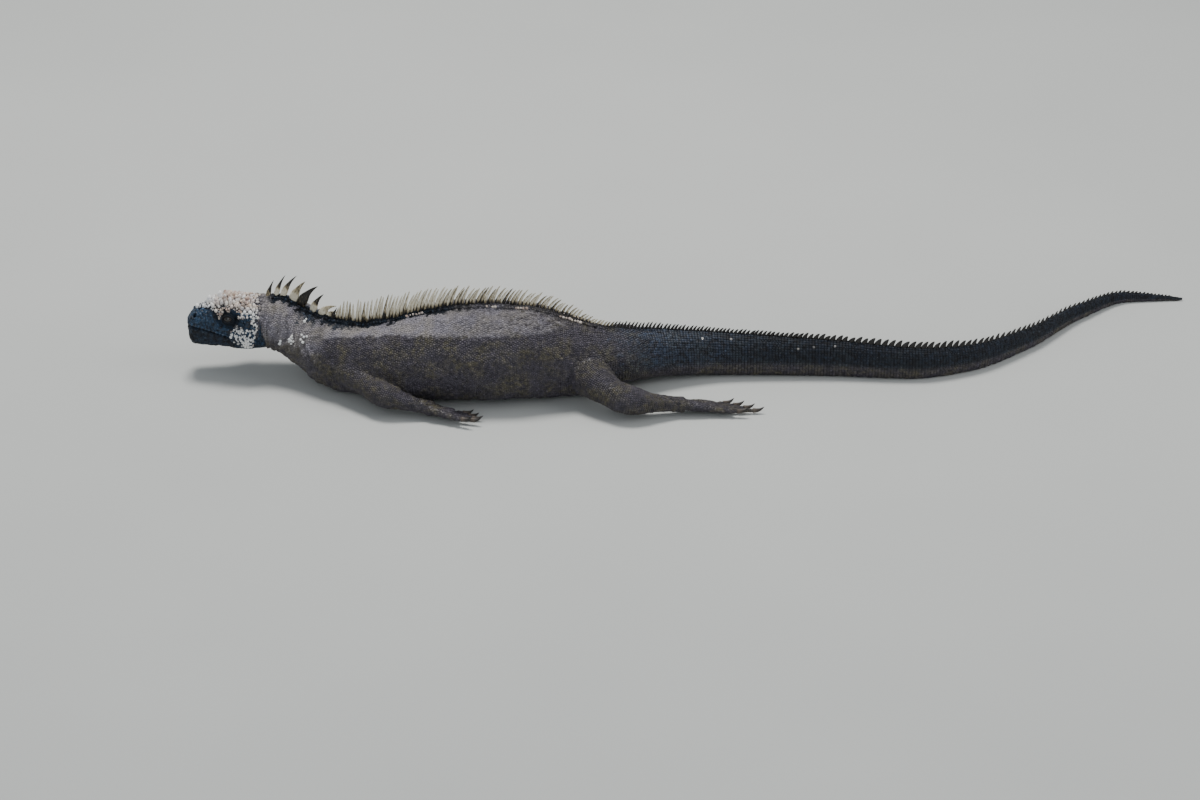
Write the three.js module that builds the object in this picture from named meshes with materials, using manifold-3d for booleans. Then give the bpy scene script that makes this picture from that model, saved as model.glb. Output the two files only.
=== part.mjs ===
// A swimming marine iguana at life size: an adult male laid on its belly, legs swept back along its sides,
// tail swung in the stroke of swimming. The head points to -X, the left side to -Y and the back to +Z.
// Millimetres. Every form is placed by "at", the distance behind the snout tip, "side", the distance
// towards the right of a straight line through the trunk, and z, the height above the floor.
import * as THREE from 'three';
import { mergeVertices } from 'three/addons/utils/BufferGeometryUtils.js';
import Module from 'manifold-3d';

const wasm = await Module();
wasm.setup();

// Driving dimensions

const SNOUT_TO_VENT = 440;
const BODY_LENGTH = 1064; // snout tip to tail tip, straight along X
const HEAD_END = 80; // where the skull ends and the neck begins
const TORSO_START = 158;
const ORIGIN_SIDE = 55; // the middle of the model's width, so that the origin is under the middle of its box
const GAP = 0.3; // between two nodes that touch
const FLOOR_SINK = 0.8; // how far a resting form would sink, which the floor trims to a small flat

// Cross-sections from the snout to the tail tip: the sideways place of the middle, the height of the back
// and of the underside, the half width, and how square the section is (2 is an ellipse)
const SECTIONS = [
  { name: 'snout front', at: 0, side: 40, top: 58, bottom: 40, half: 8.5, square: 2.4 },
  { name: 'snout rim', at: 1.5, side: 40, top: 62.5, bottom: 36, half: 12.3, square: 2.5 },
  { name: 'snout edge', at: 4, side: 40, top: 67, bottom: 33.4, half: 15, square: 2.5 },
  { name: 'nostrils', at: 9, side: 40, top: 71.5, bottom: 31.6, half: 17, square: 2.5 },
  { name: 'bridge', at: 18, side: 40, top: 75.5, bottom: 31, half: 18.6, square: 2.5 },
  { name: 'forehead', at: 30, side: 40, top: 79.5, bottom: 30.5, half: 20.6, square: 2.5 },
  { name: 'eyes', at: 43, side: 40, top: 82, bottom: 30, half: 23.3, square: 2.5 },
  { name: 'temples', at: 55, side: 40, top: 82.5, bottom: 29.5, half: 26.4, square: 2.4 },
  { name: 'jowls', at: 67, side: 40.2, top: 82.5, bottom: 29.5, half: 28, square: 2.3 },
  { name: 'nape', at: 82, side: 41, top: 83.5, bottom: 29.5, half: 27.5, square: 2.15 },
  { name: 'neck hump', at: 98, side: 38.5, top: 84, bottom: 26, half: 28.5, square: 2.1 },
  { name: 'neck', at: 124, side: 29.5, top: 75, bottom: 15, half: 32, square: 2.1 },
  { name: 'shoulders', at: 152, side: 15.5, top: 69.5, bottom: 2.5, half: 38.5, square: 2.15 },
  { name: 'withers', at: 172, side: 8.5, top: 69, bottom: -FLOOR_SINK, half: 43, square: 2.2 },
  { name: 'chest', at: 208, side: 2, top: 75.5, bottom: -1.2, half: 50, square: 2.2 },
  { name: 'ribs', at: 252, side: -1, top: 88, bottom: -1.2, half: 56.5, square: 2.15 },
  { name: 'belly', at: 307, side: -1, top: 93.5, bottom: -1.2, half: 59, square: 2.1 },
  { name: 'flanks', at: 352, side: -1, top: 91.5, bottom: -1.2, half: 55, square: 2.1 },
  { name: 'loins', at: 390, side: -1, top: 82, bottom: -1, half: 46, square: 2.1 },
  { name: 'hips', at: 420, side: -1, top: 71.5, bottom: 1.5, half: 37.5, square: 2.1 },
  { name: 'vent', at: SNOUT_TO_VENT, side: 3, top: 66, bottom: 7, half: 31, square: 2 },
  { name: 'tail root', at: 490, side: 21, top: 55.5, bottom: 5, half: 22.5, square: 2 },
  { name: 'tail first quarter', at: 560, side: 31, top: 46.5, bottom: -0.4, half: 15.5, square: 2 },
  { name: 'tail second quarter', at: 660, side: 28, top: 40.5, bottom: -FLOOR_SINK, half: 10.8, square: 2 },
  { name: 'tail near bend', at: 753, side: 20.5, top: 34.5, bottom: -FLOOR_SINK, half: 8.4, square: 2 },
  { name: 'tail swing', at: 808, side: 34, top: 30, bottom: -FLOOR_SINK, half: 7.2, square: 2 },
  { name: 'tail sweep', at: 880, side: 86, top: 23.5, bottom: -FLOOR_SINK, half: 5.8, square: 2 },
  { name: 'tail reach', at: 943, side: 155, top: 17.5, bottom: -FLOOR_SINK, half: 4.6, square: 2 },
  { name: 'tail far bend', at: 1004, side: 198, top: 11.5, bottom: -FLOOR_SINK, half: 3.4, square: 2 },
  { name: 'tail tip', at: BODY_LENGTH, side: 201, top: 4.2, bottom: -FLOOR_SINK, half: 1.5, square: 2 },
];
const WAIST = 0.42; // height of the widest level, as a share of the section
const BELLY_SQUARE = 0.3; // how much squarer the lower half is than the upper
const TRUNK_SIDES = 26;
const TAIL_SIDES = 12;
const HEAD_SIDES = 24;
const RIDGE = { half: 2.6, height: 4.4, tailHeight: 0.9 }; // the fold of skin that carries the crest
const TAIL_JOINTS = [SNOUT_TO_VENT, 540, 640, 740, 820, 900, 980, BODY_LENGTH];

// The mouth: a line that falls a little from the front of the snout to its corner
const MOUTH = { front: 56.5, corner: 47, cornerAt: 47, jointAt: 68, jointZ: 43 };
const MOUTH_CUT = [-20, 0, 8, 18, 32, MOUTH.cornerAt, MOUTH.jointAt]; // places where its cut may bend
const LIP = {
  places: [47, 34, 22, 12, 5, 1.2], // from the corner to the front of the snout
  radius: 1.7, end: 0.5, fromLine: 1.3, upperSunk: 0.5, lowerSunk: 1,
};
const JAW_INSET = 0.5; // the upper lip hangs over the lower one
const EYE = { at: 43.5, z: 68.5, radius: 6.4, depth: 4.2, slitLength: 10.6, slitHeight: 7.4 };
const LID = { thick: 1.1, stretch: 1.15 };
const BROW = {
  path: [[29, 73.5, 1.8], [36, 76, 1.6], [43.5, 76.8, 1.4], [51, 75.4, 1.6], [58, 71.5, 1.8]], // at, z, depth
  radii: [1.5, 3.4, 3.8, 3.4, 1.5],
};
const NOSTRIL = { at: 8, z: 67.6, radius: 2.1, depth: 4, rim: 1.3, rimSunk: 3, rimHeight: 0.8 };
const EARDRUM = { at: 63.5, z: 63.5, half: 3.7, tall: 4.6, thick: 0.8, sunk: 1.3 };
const CUT_LENGTH = 20; // of a cut that opens outwards

// The crest: how long and wide its spines are, how far apart they stand and how far they lean back
const CREST = [
  { name: 'nape', at: 84, length: 13, width: 5, pitch: 7.6, lean: 10 },
  { name: 'upper neck', at: 99, length: 24, width: 6.6, pitch: 9.4, lean: 26 },
  { name: 'mid neck', at: 109, length: 29, width: 7.6, pitch: 10.2, lean: 36 },
  { name: 'lower neck', at: 119, length: 28, width: 8, pitch: 9.4, lean: 36 },
  { name: 'neck foot', at: 129, length: 21, width: 6.6, pitch: 8.4, lean: 42 },
  { name: 'shoulder dip', at: 150, length: 9, width: 5, pitch: 7.5, lean: 46 },
  { name: 'shoulders', at: 165, length: 22, width: 4.2, pitch: 5.6, lean: 6 },
  { name: 'fore back', at: 200, length: 30, width: 3.8, pitch: 5.3, lean: 12 },
  { name: 'mid back', at: 253, length: 27.5, width: 3.6, pitch: 5.3, lean: 21 },
  { name: 'high back', at: 315, length: 22, width: 3.5, pitch: 5.3, lean: 28 },
  { name: 'loins', at: 364, length: 18.5, width: 3.5, pitch: 5.2, lean: 35 },
  { name: 'pelvis', at: 395, length: 13.5, width: 3.3, pitch: 5, lean: 41 },
  { name: 'vent', at: 428, length: 7.5, width: 3.3, pitch: 5, lean: 44 },
  { name: 'tail root', at: 458, length: 13.5, width: 4, pitch: 8, lean: 38 },
  { name: 'tail first quarter', at: 510, length: 8, width: 4, pitch: 10, lean: 41 },
  { name: 'tail middle', at: 700, length: 6.8, width: 4, pitch: 10, lean: 42 },
  { name: 'tail bend', at: 850, length: 6.5, width: 4, pitch: 10, lean: 45 },
  { name: 'tail reach', at: 960, length: 4.8, width: 4, pitch: 10, lean: 45 },
  { name: 'tail tip', at: BODY_LENGTH, length: 1, width: 4, pitch: 10, lean: 45 },
];
const SPINE = { thick: 0.45, thinnest: 0.3, sunk: 3.6, bend: 0.3, vary: 0.12 };
const SPINE_MIDDLE = { share: 0.45, width: 0.78 };
const FIN = { half: 1.1, sunk: 2.6, valley: 0.25, peakAt: 0.5, tipAt: 0.92, end: 0.2 };

// Knobs on the head: how far from the middle the crown's reach, and their radius and height
const CROWN = [
  { name: 'snout', at: 9, reach: 3, radius: 2.6, height: 3.4 },
  { name: 'bridge', at: 21, reach: 8.5, radius: 3.2, height: 4.8 },
  { name: 'forehead', at: 31, reach: 14, radius: 3.7, height: 6.6 },
  { name: 'crown', at: 46, reach: 17.5, radius: 3.3, height: 5.4 },
  { name: 'nape', at: 74, reach: 20, radius: 2.9, height: 3.8 },
];
const CROWN_ROWS = { from: 21, to: 74, pitch: 7.8, rowShare: 0.92, stray: 0.2, fade: 0.35 };
const KNOB = { sides: 5, sunk: 1.8, shoulder: 0.5, shoulderWidth: 0.8, vary: 0.22 };
const CHEEK = { from: 50, to: 64, low: 35, high: 56, pitch: 6.6, radius: 2.6, height: 2, clear: 3.6 };
const NECK_KNOBS = { from: 100, to: 146, pitch: 9, angle: 7, radius: 2.2, height: 2.6 };
const SEED = 11;

// Legs, as the middle of each joint for the left and the right side
const FORELEG = {
  left: [[152, 0, 35], [206, -57, 22], [257, -69, 10], [276, -72, 7]],
  right: [[152, 24, 35], [210, 61, 22], [259, 66, 10], [278, 70, 7]],
};
const HIND_LEG = {
  left: [[398, -8, 36], [450, -66, 22], [514, -60, 10.5], [544, -56, 6.8]],
  right: [[398, 6, 36], [449, 66, 22], [510, 76, 10.5], [539, 82, 6.8]],
};
const FORELEG_GIRTH = [17, 17.5, 13, 13.5, 9, 8]; // radius from shoulder to wrist
const HIND_GIRTH = [22, 22.5, 17, 15.5, 10, 9];
const LEG = { elbow: 0.52, knee: 0.5, flat: 0.92, jointGap: 0.002 }; // shares of the way from root to wrist
const HAND = {
  wide: 11.5, thick: 5.4, spread: 8, digitRadius: [3.6, 2.7],
  digits: [13, 19, 24, 24, 16], claw: 11, dorsal: [0, 0.28, -0.96],
};
const FOOT = {
  wide: 12, thick: 5.6, spread: 6, digitRadius: [3.8, 2.7],
  digits: [15, 24, 33, 41, 24], claw: 11.5, dorsal: [0, 0.2, -0.98],
};
// Of a hand or foot: how the palm widens as shares of its width, how far it reaches past wrist and knuckles,
// and of its digits how far back inside the palm they begin, how far apart they stand and how they arch
const PALM = { widths: [0.74, 0.95, 1, 0.8], behind: 2, ahead: 3 };
const DIGIT = { root: 10, apart: 0.34, arch: 1, middle: 0.9, last: 1.1, flat: 0.9 };
const CLAW = {
  radii: [0.9, 0.75, 0.5], tip: 0.35, deep: 1.15, // shares of the digit's radius, but the tip in millimetres
  path: [[0, 0], [0.35, 0.02], [0.7, 0.14], [1, 0.36]], // shares of its length, along and down
};

// Helpers for solids

// A closed three.js geometry as a manifold-3d solid, turned the right way out
function solid(geometry) {
  const bare = geometry.index ? geometry.toNonIndexed() : geometry.clone();
  for (const name of Object.keys(bare.attributes)) {
    if (name !== 'position') bare.deleteAttribute(name);
  }
  const merged = mergeVertices(bare, 1e-4);
  const vertProperties = new Float32Array(merged.attributes.position.array);
  const triVerts = new Uint32Array(merged.index.array);
  const made = new wasm.Manifold(new wasm.Mesh({ numProp: 3, vertProperties, triVerts }));
  if (made.volume() > 0) return made;
  for (let i = 0; i < triVerts.length; i += 3) {
    [triVerts[i], triVerts[i + 1]] = [triVerts[i + 1], triVerts[i]];
  }
  return new wasm.Manifold(new wasm.Mesh({ numProp: 3, vertProperties, triVerts }));
}

function joined(solids) {
  return wasm.Manifold.union(solids);
}

// The largest closed surface of a solid: loose scraps and sealed hollows are dropped
function largest(made) {
  return made.decompose().sort((a, b) => b.volume() - a.volume())[0];
}

function geometryOf(made) {
  const mesh = made.getMesh();
  const geometry = new THREE.BufferGeometry();
  const positions = new Float32Array(mesh.numVert * 3);
  for (let i = 0; i < mesh.numVert; i++) {
    positions.set(mesh.vertProperties.subarray(i * mesh.numProp, i * mesh.numProp + 3), i * 3);
  }
  geometry.setAttribute('position', new THREE.BufferAttribute(positions, 3));
  geometry.setIndex(new THREE.BufferAttribute(new Uint32Array(mesh.triVerts), 1));
  geometry.computeVertexNormals();
  return geometry;
}

// A closed surface through rings of equally many points, each end closed by a fan round its middle or its tip
function loft(rings, tip = null) {
  const sides = rings[0].length;
  const points = rings.flat();
  const index = [];
  for (let r = 0; r + 1 < rings.length; r++) {
    for (let k = 0; k < sides; k++) {
      const a = r * sides + k;
      const b = r * sides + (k + 1) % sides;
      index.push(a, b, a + sides, b, b + sides, a + sides);
    }
  }
  for (const [r, flip] of [[0, true], [rings.length - 1, false]]) {
    const middle = vec(0, 0, 0);
    rings[r].forEach((p) => middle.addScaledVector(p, 1 / sides));
    points.push(flip || !tip ? middle : tip);
    for (let k = 0; k < sides; k++) {
      const a = r * sides + k;
      const b = r * sides + (k + 1) % sides;
      index.push(...(flip ? [b, a, points.length - 1] : [a, b, points.length - 1]));
    }
  }
  const geometry = new THREE.BufferGeometry().setFromPoints(points);
  geometry.setIndex(index);
  return solid(geometry);
}

// The value of a column of a table at any place, smooth and without overshoot (monotone cubic)
function column(table, key) {
  const x = table.map((row) => row.at);
  const y = table.map((row) => row[key]);
  const slope = x.slice(1).map((next, i) => (y[i + 1] - y[i]) / (next - x[i]));
  const lean = y.map((_, i) => {
    const [before, after] = [slope[Math.max(i - 1, 0)], slope[Math.min(i, slope.length - 1)]];
    return before * after <= 0 ? 0 : (2 * before * after) / (before + after);
  });
  return (at) => {
    const last = x.length - 2;
    const found = x.findIndex((next) => next > at) - 1;
    const i = found < -1 ? last : Math.min(Math.max(found, 0), last);
    const h = x[i + 1] - x[i];
    const t = Math.min(Math.max((at - x[i]) / h, 0), 1);
    const [t2, t3] = [t * t, t * t * t];
    return (2 * t3 - 3 * t2 + 1) * y[i] + (t3 - 2 * t2 + t) * h * lean[i]
      + (3 * t2 - 2 * t3) * y[i + 1] + (t3 - t2) * h * lean[i + 1];
  };
}

// Evenly spaced numbers from a to b, both included
function steps(a, b, count) {
  return Array.from({ length: count + 1 }, (_, i) => a + ((b - a) * i) / count);
}

function vec(x, y, z) {
  return new THREE.Vector3(x, y, z);
}

// Repeatable numbers from 0 to 1, and from them a factor close to 1
let drawn = SEED;
function random() {
  drawn = (drawn * 16807) % 2147483647;
  return drawn / 2147483647;
}

function vary(share) {
  return 1 + share * (2 * random() - 1);
}

// Where the rings of the head, neck, torso and each length of the tail stand

const HALF_GAP = GAP / 2;
const HEAD = [0, 0.6, 1.5, 4, 9, 14, 20, 27, 35, 43, 51, 59, 67, HEAD_END - HALF_GAP];
const NECK = steps(HEAD_END + HALF_GAP, TORSO_START - HALF_GAP, 9);
const TORSO = steps(TORSO_START + HALF_GAP, SNOUT_TO_VENT - HALF_GAP, 19);
const TAIL = TAIL_JOINTS.slice(1).map((to, i) => {
  const end = to === BODY_LENGTH ? to : to - HALF_GAP;
  return steps(TAIL_JOINTS[i] + HALF_GAP, end, 6);
});
const CREST_END = BODY_LENGTH - 12;

// The body's line and cross-sections

const sectionSide = column(SECTIONS, 'side');
const sectionTop = column(SECTIONS, 'top');
const sectionBottom = column(SECTIONS, 'bottom');
const sectionHalf = column(SECTIONS, 'half');
const sectionSquare = column(SECTIONS, 'square');

// The direction of the body's line, and the one to its right, at a place
function heading(at) {
  const slope = (sectionSide(at + 1) - sectionSide(at - 1)) / 2;
  const along = vec(1, slope, 0).normalize();
  return { along, right: vec(-along.y, along.x, 0) };
}

// Height of the fold of skin under the crest: none on the skull, most on the nape and back
function ridgeHeight(at) {
  const start = THREE.MathUtils.smoothstep(at, HEAD_END - 2, HEAD_END + 8);
  const fade = THREE.MathUtils.smoothstep(at, 330, 560);
  return start * THREE.MathUtils.lerp(RIDGE.height, RIDGE.tailHeight, fade);
}

// A point on the body's surface: angle 0 points right, 90 up, 180 left. Grown by a distance if wanted.
function bodyPoint(at, angle, grow = 0) {
  const [c, s] = [Math.cos(angle), Math.sin(angle)];
  const [top, bottom] = [sectionTop(at) + grow, sectionBottom(at) - grow];
  const middle = bottom + (top - bottom) * WAIST;
  const square = sectionSquare(at) + (s < 0 ? BELLY_SQUARE : 0);
  const across = (sectionHalf(at) + grow) * Math.sign(c) * Math.abs(c) ** (2 / square);
  const up = (s > 0 ? top - middle : middle - bottom) * Math.sign(s) * Math.abs(s) ** (2 / square);
  const { right } = heading(at);
  return vec(at, sectionSide(at), middle + up).addScaledVector(right, across);
}

// The direction out of the body's surface
function bodyNormal(at, angle) {
  const alongIt = bodyPoint(at + 0.5, angle).sub(bodyPoint(at - 0.5, angle));
  const roundIt = bodyPoint(at, angle + 0.02).sub(bodyPoint(at, angle - 0.02));
  return vec(0, 0, 0).crossVectors(roundIt, alongIt).normalize();
}

// A closed ring round the body, with a narrow ridge at the top where there is a crest
function bodyRing(at, sides, grow = 0) {
  const ridge = ridgeHeight(at);
  const narrow = Math.acos(Math.min(0.9, (RIDGE.half + grow) / sectionHalf(at)));
  const even = Math.PI / 2 - (2 * Math.PI) / sides;
  const edge = at < HEAD_END + 2 ? even : narrow;
  const peak = bodyPoint(at, Math.PI / 2, grow);
  peak.z += ridge;
  const turn = 2 * Math.PI - 2 * (Math.PI / 2 - edge);
  const rest = steps(0, 1, sides - 2).map((t) => bodyPoint(at, Math.PI - edge + t * turn, grow));
  return [peak, ...rest];
}

// A length of the body through some places, with flat ends that stand upright across its line
function bodyLength(places, sides, grow = 0) {
  return loft(places.map((at) => bodyRing(at, sides, grow)));
}

const floorBlock = solid(new THREE.BoxGeometry(3000, 2000, 100).translate(500, 0, -50));

function aboveFloor(made) {
  return made.subtract(floorBlock);
}

// Tubes and small forms

function curveThrough(points) {
  return new THREE.CatmullRomCurve3(points.map((p) => vec(...p)), false, 'centripetal');
}

// A tube along a smooth curve: radii are spread evenly from end to end, flat squeezes it along "thin"
function tube(points, radii, { rings, sides, thin = vec(0, 0, 1), flat = 1, from = 0, to = 1, grow = 0 }) {
  const curve = curveThrough(points);
  const radius = column(radii.map((value, i) => ({ at: i / (radii.length - 1), value })), 'value');
  return loft(steps(from, to, rings).map((t) => {
    const middle = curve.getPointAt(t);
    const along = curve.getTangentAt(t);
    const across = vec(0, 0, 0).crossVectors(thin, along).normalize();
    const up = vec(0, 0, 0).crossVectors(along, across).normalize();
    return Array.from({ length: sides }, (_, k) => {
      const angle = (2 * Math.PI * k) / sides;
      return middle.clone()
        .addScaledVector(across, (radius(t) + grow) * Math.cos(angle))
        .addScaledVector(up, (radius(t) * flat + grow) * Math.sin(angle));
    });
  }));
}

function ball(place, radius, scale = [1, 1, 1]) {
  const geometry = new THREE.SphereGeometry(radius, 14, 9).scale(...scale);
  return solid(geometry.translate(place.x, place.y, place.z));
}

// A prism through the whole head, from an outline of [at, z] points
function headPrism(outline) {
  const shape = new THREE.Shape(outline.map(([at, z]) => new THREE.Vector2(at, z)));
  const geometry = new THREE.ExtrudeGeometry(shape, { depth: 100, bevelEnabled: false });
  return solid(geometry.rotateX(Math.PI / 2).translate(0, sectionSide(0) + 50, 0));
}

// The surface of the head at a height: the point and the direction out of it. hand is -1 left, 1 right.
function headSurface(at, z, hand) {
  const [top, bottom] = [sectionTop(at), sectionBottom(at)];
  const middle = bottom + (top - bottom) * WAIST;
  const square = sectionSquare(at) + (z < middle ? BELLY_SQUARE : 0);
  const rise = Math.min(0.999, Math.abs(z - middle) / (z > middle ? top - middle : middle - bottom));
  const climb = Math.asin(rise ** (square / 2)) * Math.sign(z - middle);
  const angle = hand > 0 ? climb : Math.PI - climb;
  return { point: bodyPoint(at, angle), out: bodyNormal(at, angle) };
}

// A point on the top of the head at a distance from its middle line
function crownSurface(at, across) {
  const share = (Math.abs(across) / sectionHalf(at)) ** (sectionSquare(at) / 2);
  const angle = Math.acos(Math.sign(across) * share);
  return { point: bodyPoint(at, angle), out: bodyNormal(at, angle) };
}

// Head

const mouthLine = column([
  { at: -20, z: MOUTH.front }, { at: 0, z: MOUTH.front }, { at: MOUTH.cornerAt, z: MOUTH.corner },
  { at: MOUTH.jointAt, z: MOUTH.jointZ }, { at: 100, z: MOUTH.jointZ },
], 'z');

// Everything below the mouth line and ahead of the jaw joint, grown by half the gap or shrunk by it
function jawBlock(grow) {
  const back = MOUTH.jointAt + grow;
  const line = MOUTH_CUT.map((at) => [at, mouthLine(at) + grow]);
  line[line.length - 1][0] = back;
  return headPrism([[MOUTH_CUT[0], 0], ...line, [back + 2, 0]]);
}

// A lip: a bead that runs along the mouth line from one corner round the snout to the other, thin at its ends
function lip(offset, sunk) {
  const sideOf = (hand) => LIP.places.map((at) => {
    const { point, out } = headSurface(at, mouthLine(at) + offset, hand);
    return point.addScaledVector(out, -sunk).toArray();
  });
  const front = [sunk, sectionSide(0), mouthLine(0) + offset];
  const radii = [LIP.end, ...Array(5).fill(LIP.radius), LIP.end];
  return tube([...sideOf(-1), front, ...sideOf(1).reverse()], radii, { rings: 16, sides: 6 });
}

function eyeCentre(hand) {
  const { point, out } = headSurface(EYE.at, EYE.z, hand);
  return { centre: point.addScaledVector(out, -EYE.depth), out };
}

// A disc or slit shape pushed along a direction, to cut an opening or stand as a drum
function slug(centre, out, half, tall, start, length) {
  const geometry = new THREE.CylinderGeometry(1, 1, length, 12).scale(half, 1, tall);
  geometry.translate(0, start + length / 2, 0);
  const turn = new THREE.Matrix4().makeBasis(
    vec(1, 0, 0).addScaledVector(out, -out.x).normalize(),
    out,
    vec(0, 0, 0).crossVectors(vec(1, 0, 0).addScaledVector(out, -out.x).normalize(), out),
  );
  geometry.applyMatrix4(turn).translate(centre.x, centre.y, centre.z);
  return solid(geometry);
}

function head() {
  const raised = [bodyHead(), lip(LIP.fromLine, LIP.upperSunk), ...crownKnobs()];
  const cut = [jawBlock(GAP / 2)];
  for (const hand of [-1, 1]) {
    const eye = eyeCentre(hand);
    const nostril = headSurface(NOSTRIL.at, NOSTRIL.z, hand);
    const rim = NOSTRIL.radius + NOSTRIL.rim;
    const drum = headSurface(EARDRUM.at, EARDRUM.z, hand);
    const rimLength = NOSTRIL.rimSunk + NOSTRIL.rimHeight;
    const drumFloor = -EARDRUM.sunk - EARDRUM.thick - GAP;
    raised.push(browRidge(hand), ball(eye.centre, EYE.radius + GAP + LID.thick, [LID.stretch, 1, 1]));
    raised.push(slug(nostril.point, nostril.out, rim, rim, -NOSTRIL.rimSunk, rimLength));
    raised.push(...cheekScutes(hand, true));
    cut.push(slug(eye.centre, eye.out, EYE.slitLength / 2, EYE.slitHeight / 2, 0, CUT_LENGTH));
    cut.push(ball(eye.centre, EYE.radius + GAP));
    cut.push(slug(nostril.point, nostril.out, NOSTRIL.radius, NOSTRIL.radius, -NOSTRIL.depth, CUT_LENGTH));
    cut.push(slug(drum.point, drum.out, EARDRUM.half + GAP, EARDRUM.tall + GAP, drumFloor, CUT_LENGTH));
  }
  return joined(raised).subtract(joined(cut));
}

// The skull and jaws together, before the mouth is cut
function bodyHead(grow = 0) {
  return loft(HEAD.map((at) => bodyRing(at, HEAD_SIDES, grow)));
}

function browRidge(hand) {
  const path = BROW.path.map(([at, z, depth]) => {
    const { point, out } = headSurface(at, z, hand);
    return point.addScaledVector(out, -depth).toArray();
  });
  return tube(path, BROW.radii, { rings: 4, sides: 6 });
}

function lowerJaw() {
  const scutes = [...cheekScutes(-1, false), ...cheekScutes(1, false)];
  const whole = joined([bodyHead(-JAW_INSET), lip(-LIP.fromLine, LIP.lowerSunk), ...scutes]);
  return whole.intersect(jawBlock(-GAP / 2));
}

function eyeball(hand) {
  return ball(eyeCentre(hand).centre, EYE.radius);
}

function eardrum(hand) {
  const { point, out } = headSurface(EARDRUM.at, EARDRUM.z, hand);
  return slug(point, out, EARDRUM.half, EARDRUM.tall, -EARDRUM.sunk - EARDRUM.thick, EARDRUM.thick);
}

// Neck and torso

function neck() {
  const spines = spinePlaces(HEAD_END + 2, TORSO_START).map(spine);
  return joined([bodyLength(NECK, TRUNK_SIDES), ...spines, ...neckKnobs(-1), ...neckKnobs(1)]);
}

function torso() {
  return joined([bodyLength(TORSO, TRUNK_SIDES), ...spinePlaces(TORSO_START, SNOUT_TO_VENT).map(spine)]);
}

// Crest

const crest = {
  length: column(CREST, 'length'),
  width: column(CREST, 'width'),
  pitch: column(CREST, 'pitch'),
  lean: column(CREST, 'lean'),
};

// A blade-shaped spine: a four-sided root sunk in the skin, a bent middle and a pointed tip
function spine(at) {
  const { along, right } = heading(at);
  const up = vec(0, 0, 1);
  const length = crest.length(at) * vary(SPINE.vary);
  const lean = THREE.MathUtils.degToRad(crest.lean(at) * vary(SPINE.vary));
  const base = vec(at, sectionSide(at), sectionTop(at) + ridgeHeight(at));
  const step = (from, share, angle) => from.clone()
    .addScaledVector(up, length * share * Math.cos(angle))
    .addScaledVector(along, length * share * Math.sin(angle));
  const middle = step(base, SPINE_MIDDLE.share, lean * (1 - SPINE.bend));
  const tip = step(middle, 1 - SPINE_MIDDLE.share, lean * (1 + SPINE.bend));
  const ring = (centre, size) => {
    const wide = (crest.width(at) / 2) * size;
    const thick = Math.max(wide * SPINE.thick, SPINE.thinnest);
    return [[-wide, 0], [0, thick], [wide, 0], [0, -thick]]
      .map(([a, r]) => centre.clone().addScaledVector(along, a).addScaledVector(right, r));
  };
  const root = base.clone().addScaledVector(up, -SPINE.sunk);
  return loft([ring(root, 1), ring(middle, SPINE_MIDDLE.width)], tip);
}

// Where the spines of a stretch of the body stand, each with its leaning tip ahead of the cut behind it
function spinePlaces(from, to) {
  const reach = (at) => crest.length(at) * Math.sin(THREE.MathUtils.degToRad(crest.lean(at)));
  const places = [];
  let at = from + crest.width(from) / 2 + GAP;
  while (at + Math.max(reach(at), crest.width(at) / 2) < to - GAP) {
    places.push(at);
    at += crest.pitch(at);
  }
  return places;
}

// The low saw-edged crest of the tail: one fin whose teeth lean back
function toothedFin(from, to) {
  const teeth = Math.round((to - from) / crest.pitch(from));
  const pitch = (to - from) / teeth;
  const ring = (at, tipAt, height) => {
    const foot = (across) => vec(at, sectionSide(at), sectionTop(at) + ridgeHeight(at) - FIN.sunk)
      .addScaledVector(heading(at).right, across);
    const tip = vec(tipAt, sectionSide(tipAt), sectionTop(tipAt) + ridgeHeight(tipAt) + height);
    return [foot(-FIN.half), foot(FIN.half), tip];
  };
  const rings = [];
  for (let i = 0; i < teeth; i++) {
    const start = from + i * pitch;
    const lean = THREE.MathUtils.degToRad(crest.lean(start));
    const height = crest.length(start) * Math.cos(lean) * vary(SPINE.vary);
    rings.push(ring(start, start, height * FIN.valley));
    rings.push(ring(start + FIN.peakAt * pitch, start + FIN.tipAt * pitch, height));
  }
  rings.push(ring(to, to, FIN.end));
  return loft(rings);
}

// Knobs

// A blunt cone with its root sunk in the skin
function knob({ point, out }, radius, height) {
  const [r, h] = [radius * vary(KNOB.vary), height * vary(KNOB.vary)];
  const side = vec(0, 0, 0).crossVectors(out, vec(1, 0, 0)).normalize();
  const ahead = vec(0, 0, 0).crossVectors(side, out);
  const turn = random() * Math.PI;
  const ring = (lift, size) => Array.from({ length: KNOB.sides }, (_, k) => {
    const angle = turn + (2 * Math.PI * k) / KNOB.sides;
    return point.clone().addScaledVector(out, lift)
      .addScaledVector(side, size * Math.cos(angle)).addScaledVector(ahead, size * Math.sin(angle));
  });
  const tip = point.clone().addScaledVector(out, h);
  return loft([ring(-KNOB.sunk, r), ring(h * KNOB.shoulder, r * KNOB.shoulderWidth)], tip);
}

// The crust of knobs from the snout's bridge over the forehead to the nape
function crownKnobs() {
  const [reach, radius, height] = ['reach', 'radius', 'height'].map((key) => column(CROWN, key));
  const { from, to, pitch, rowShare, stray, fade } = CROWN_ROWS;
  const first = CROWN[0].at;
  const knobs = [knob(crownSurface(first, 0), radius(first), height(first))];
  steps(from, to, Math.round((to - from) / (pitch * rowShare))).forEach((at, row) => {
    const count = Math.round((2 * reach(at)) / pitch) + (row % 2);
    steps(-reach(at), reach(at), Math.max(count, 1)).forEach((across) => {
      const place = crownSurface(at + pitch * stray * (random() - 0.5), across);
      knobs.push(knob(place, radius(at), height(at) * (1 - fade * (across / reach(at)) ** 2)));
    });
  });
  return knobs;
}

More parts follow.
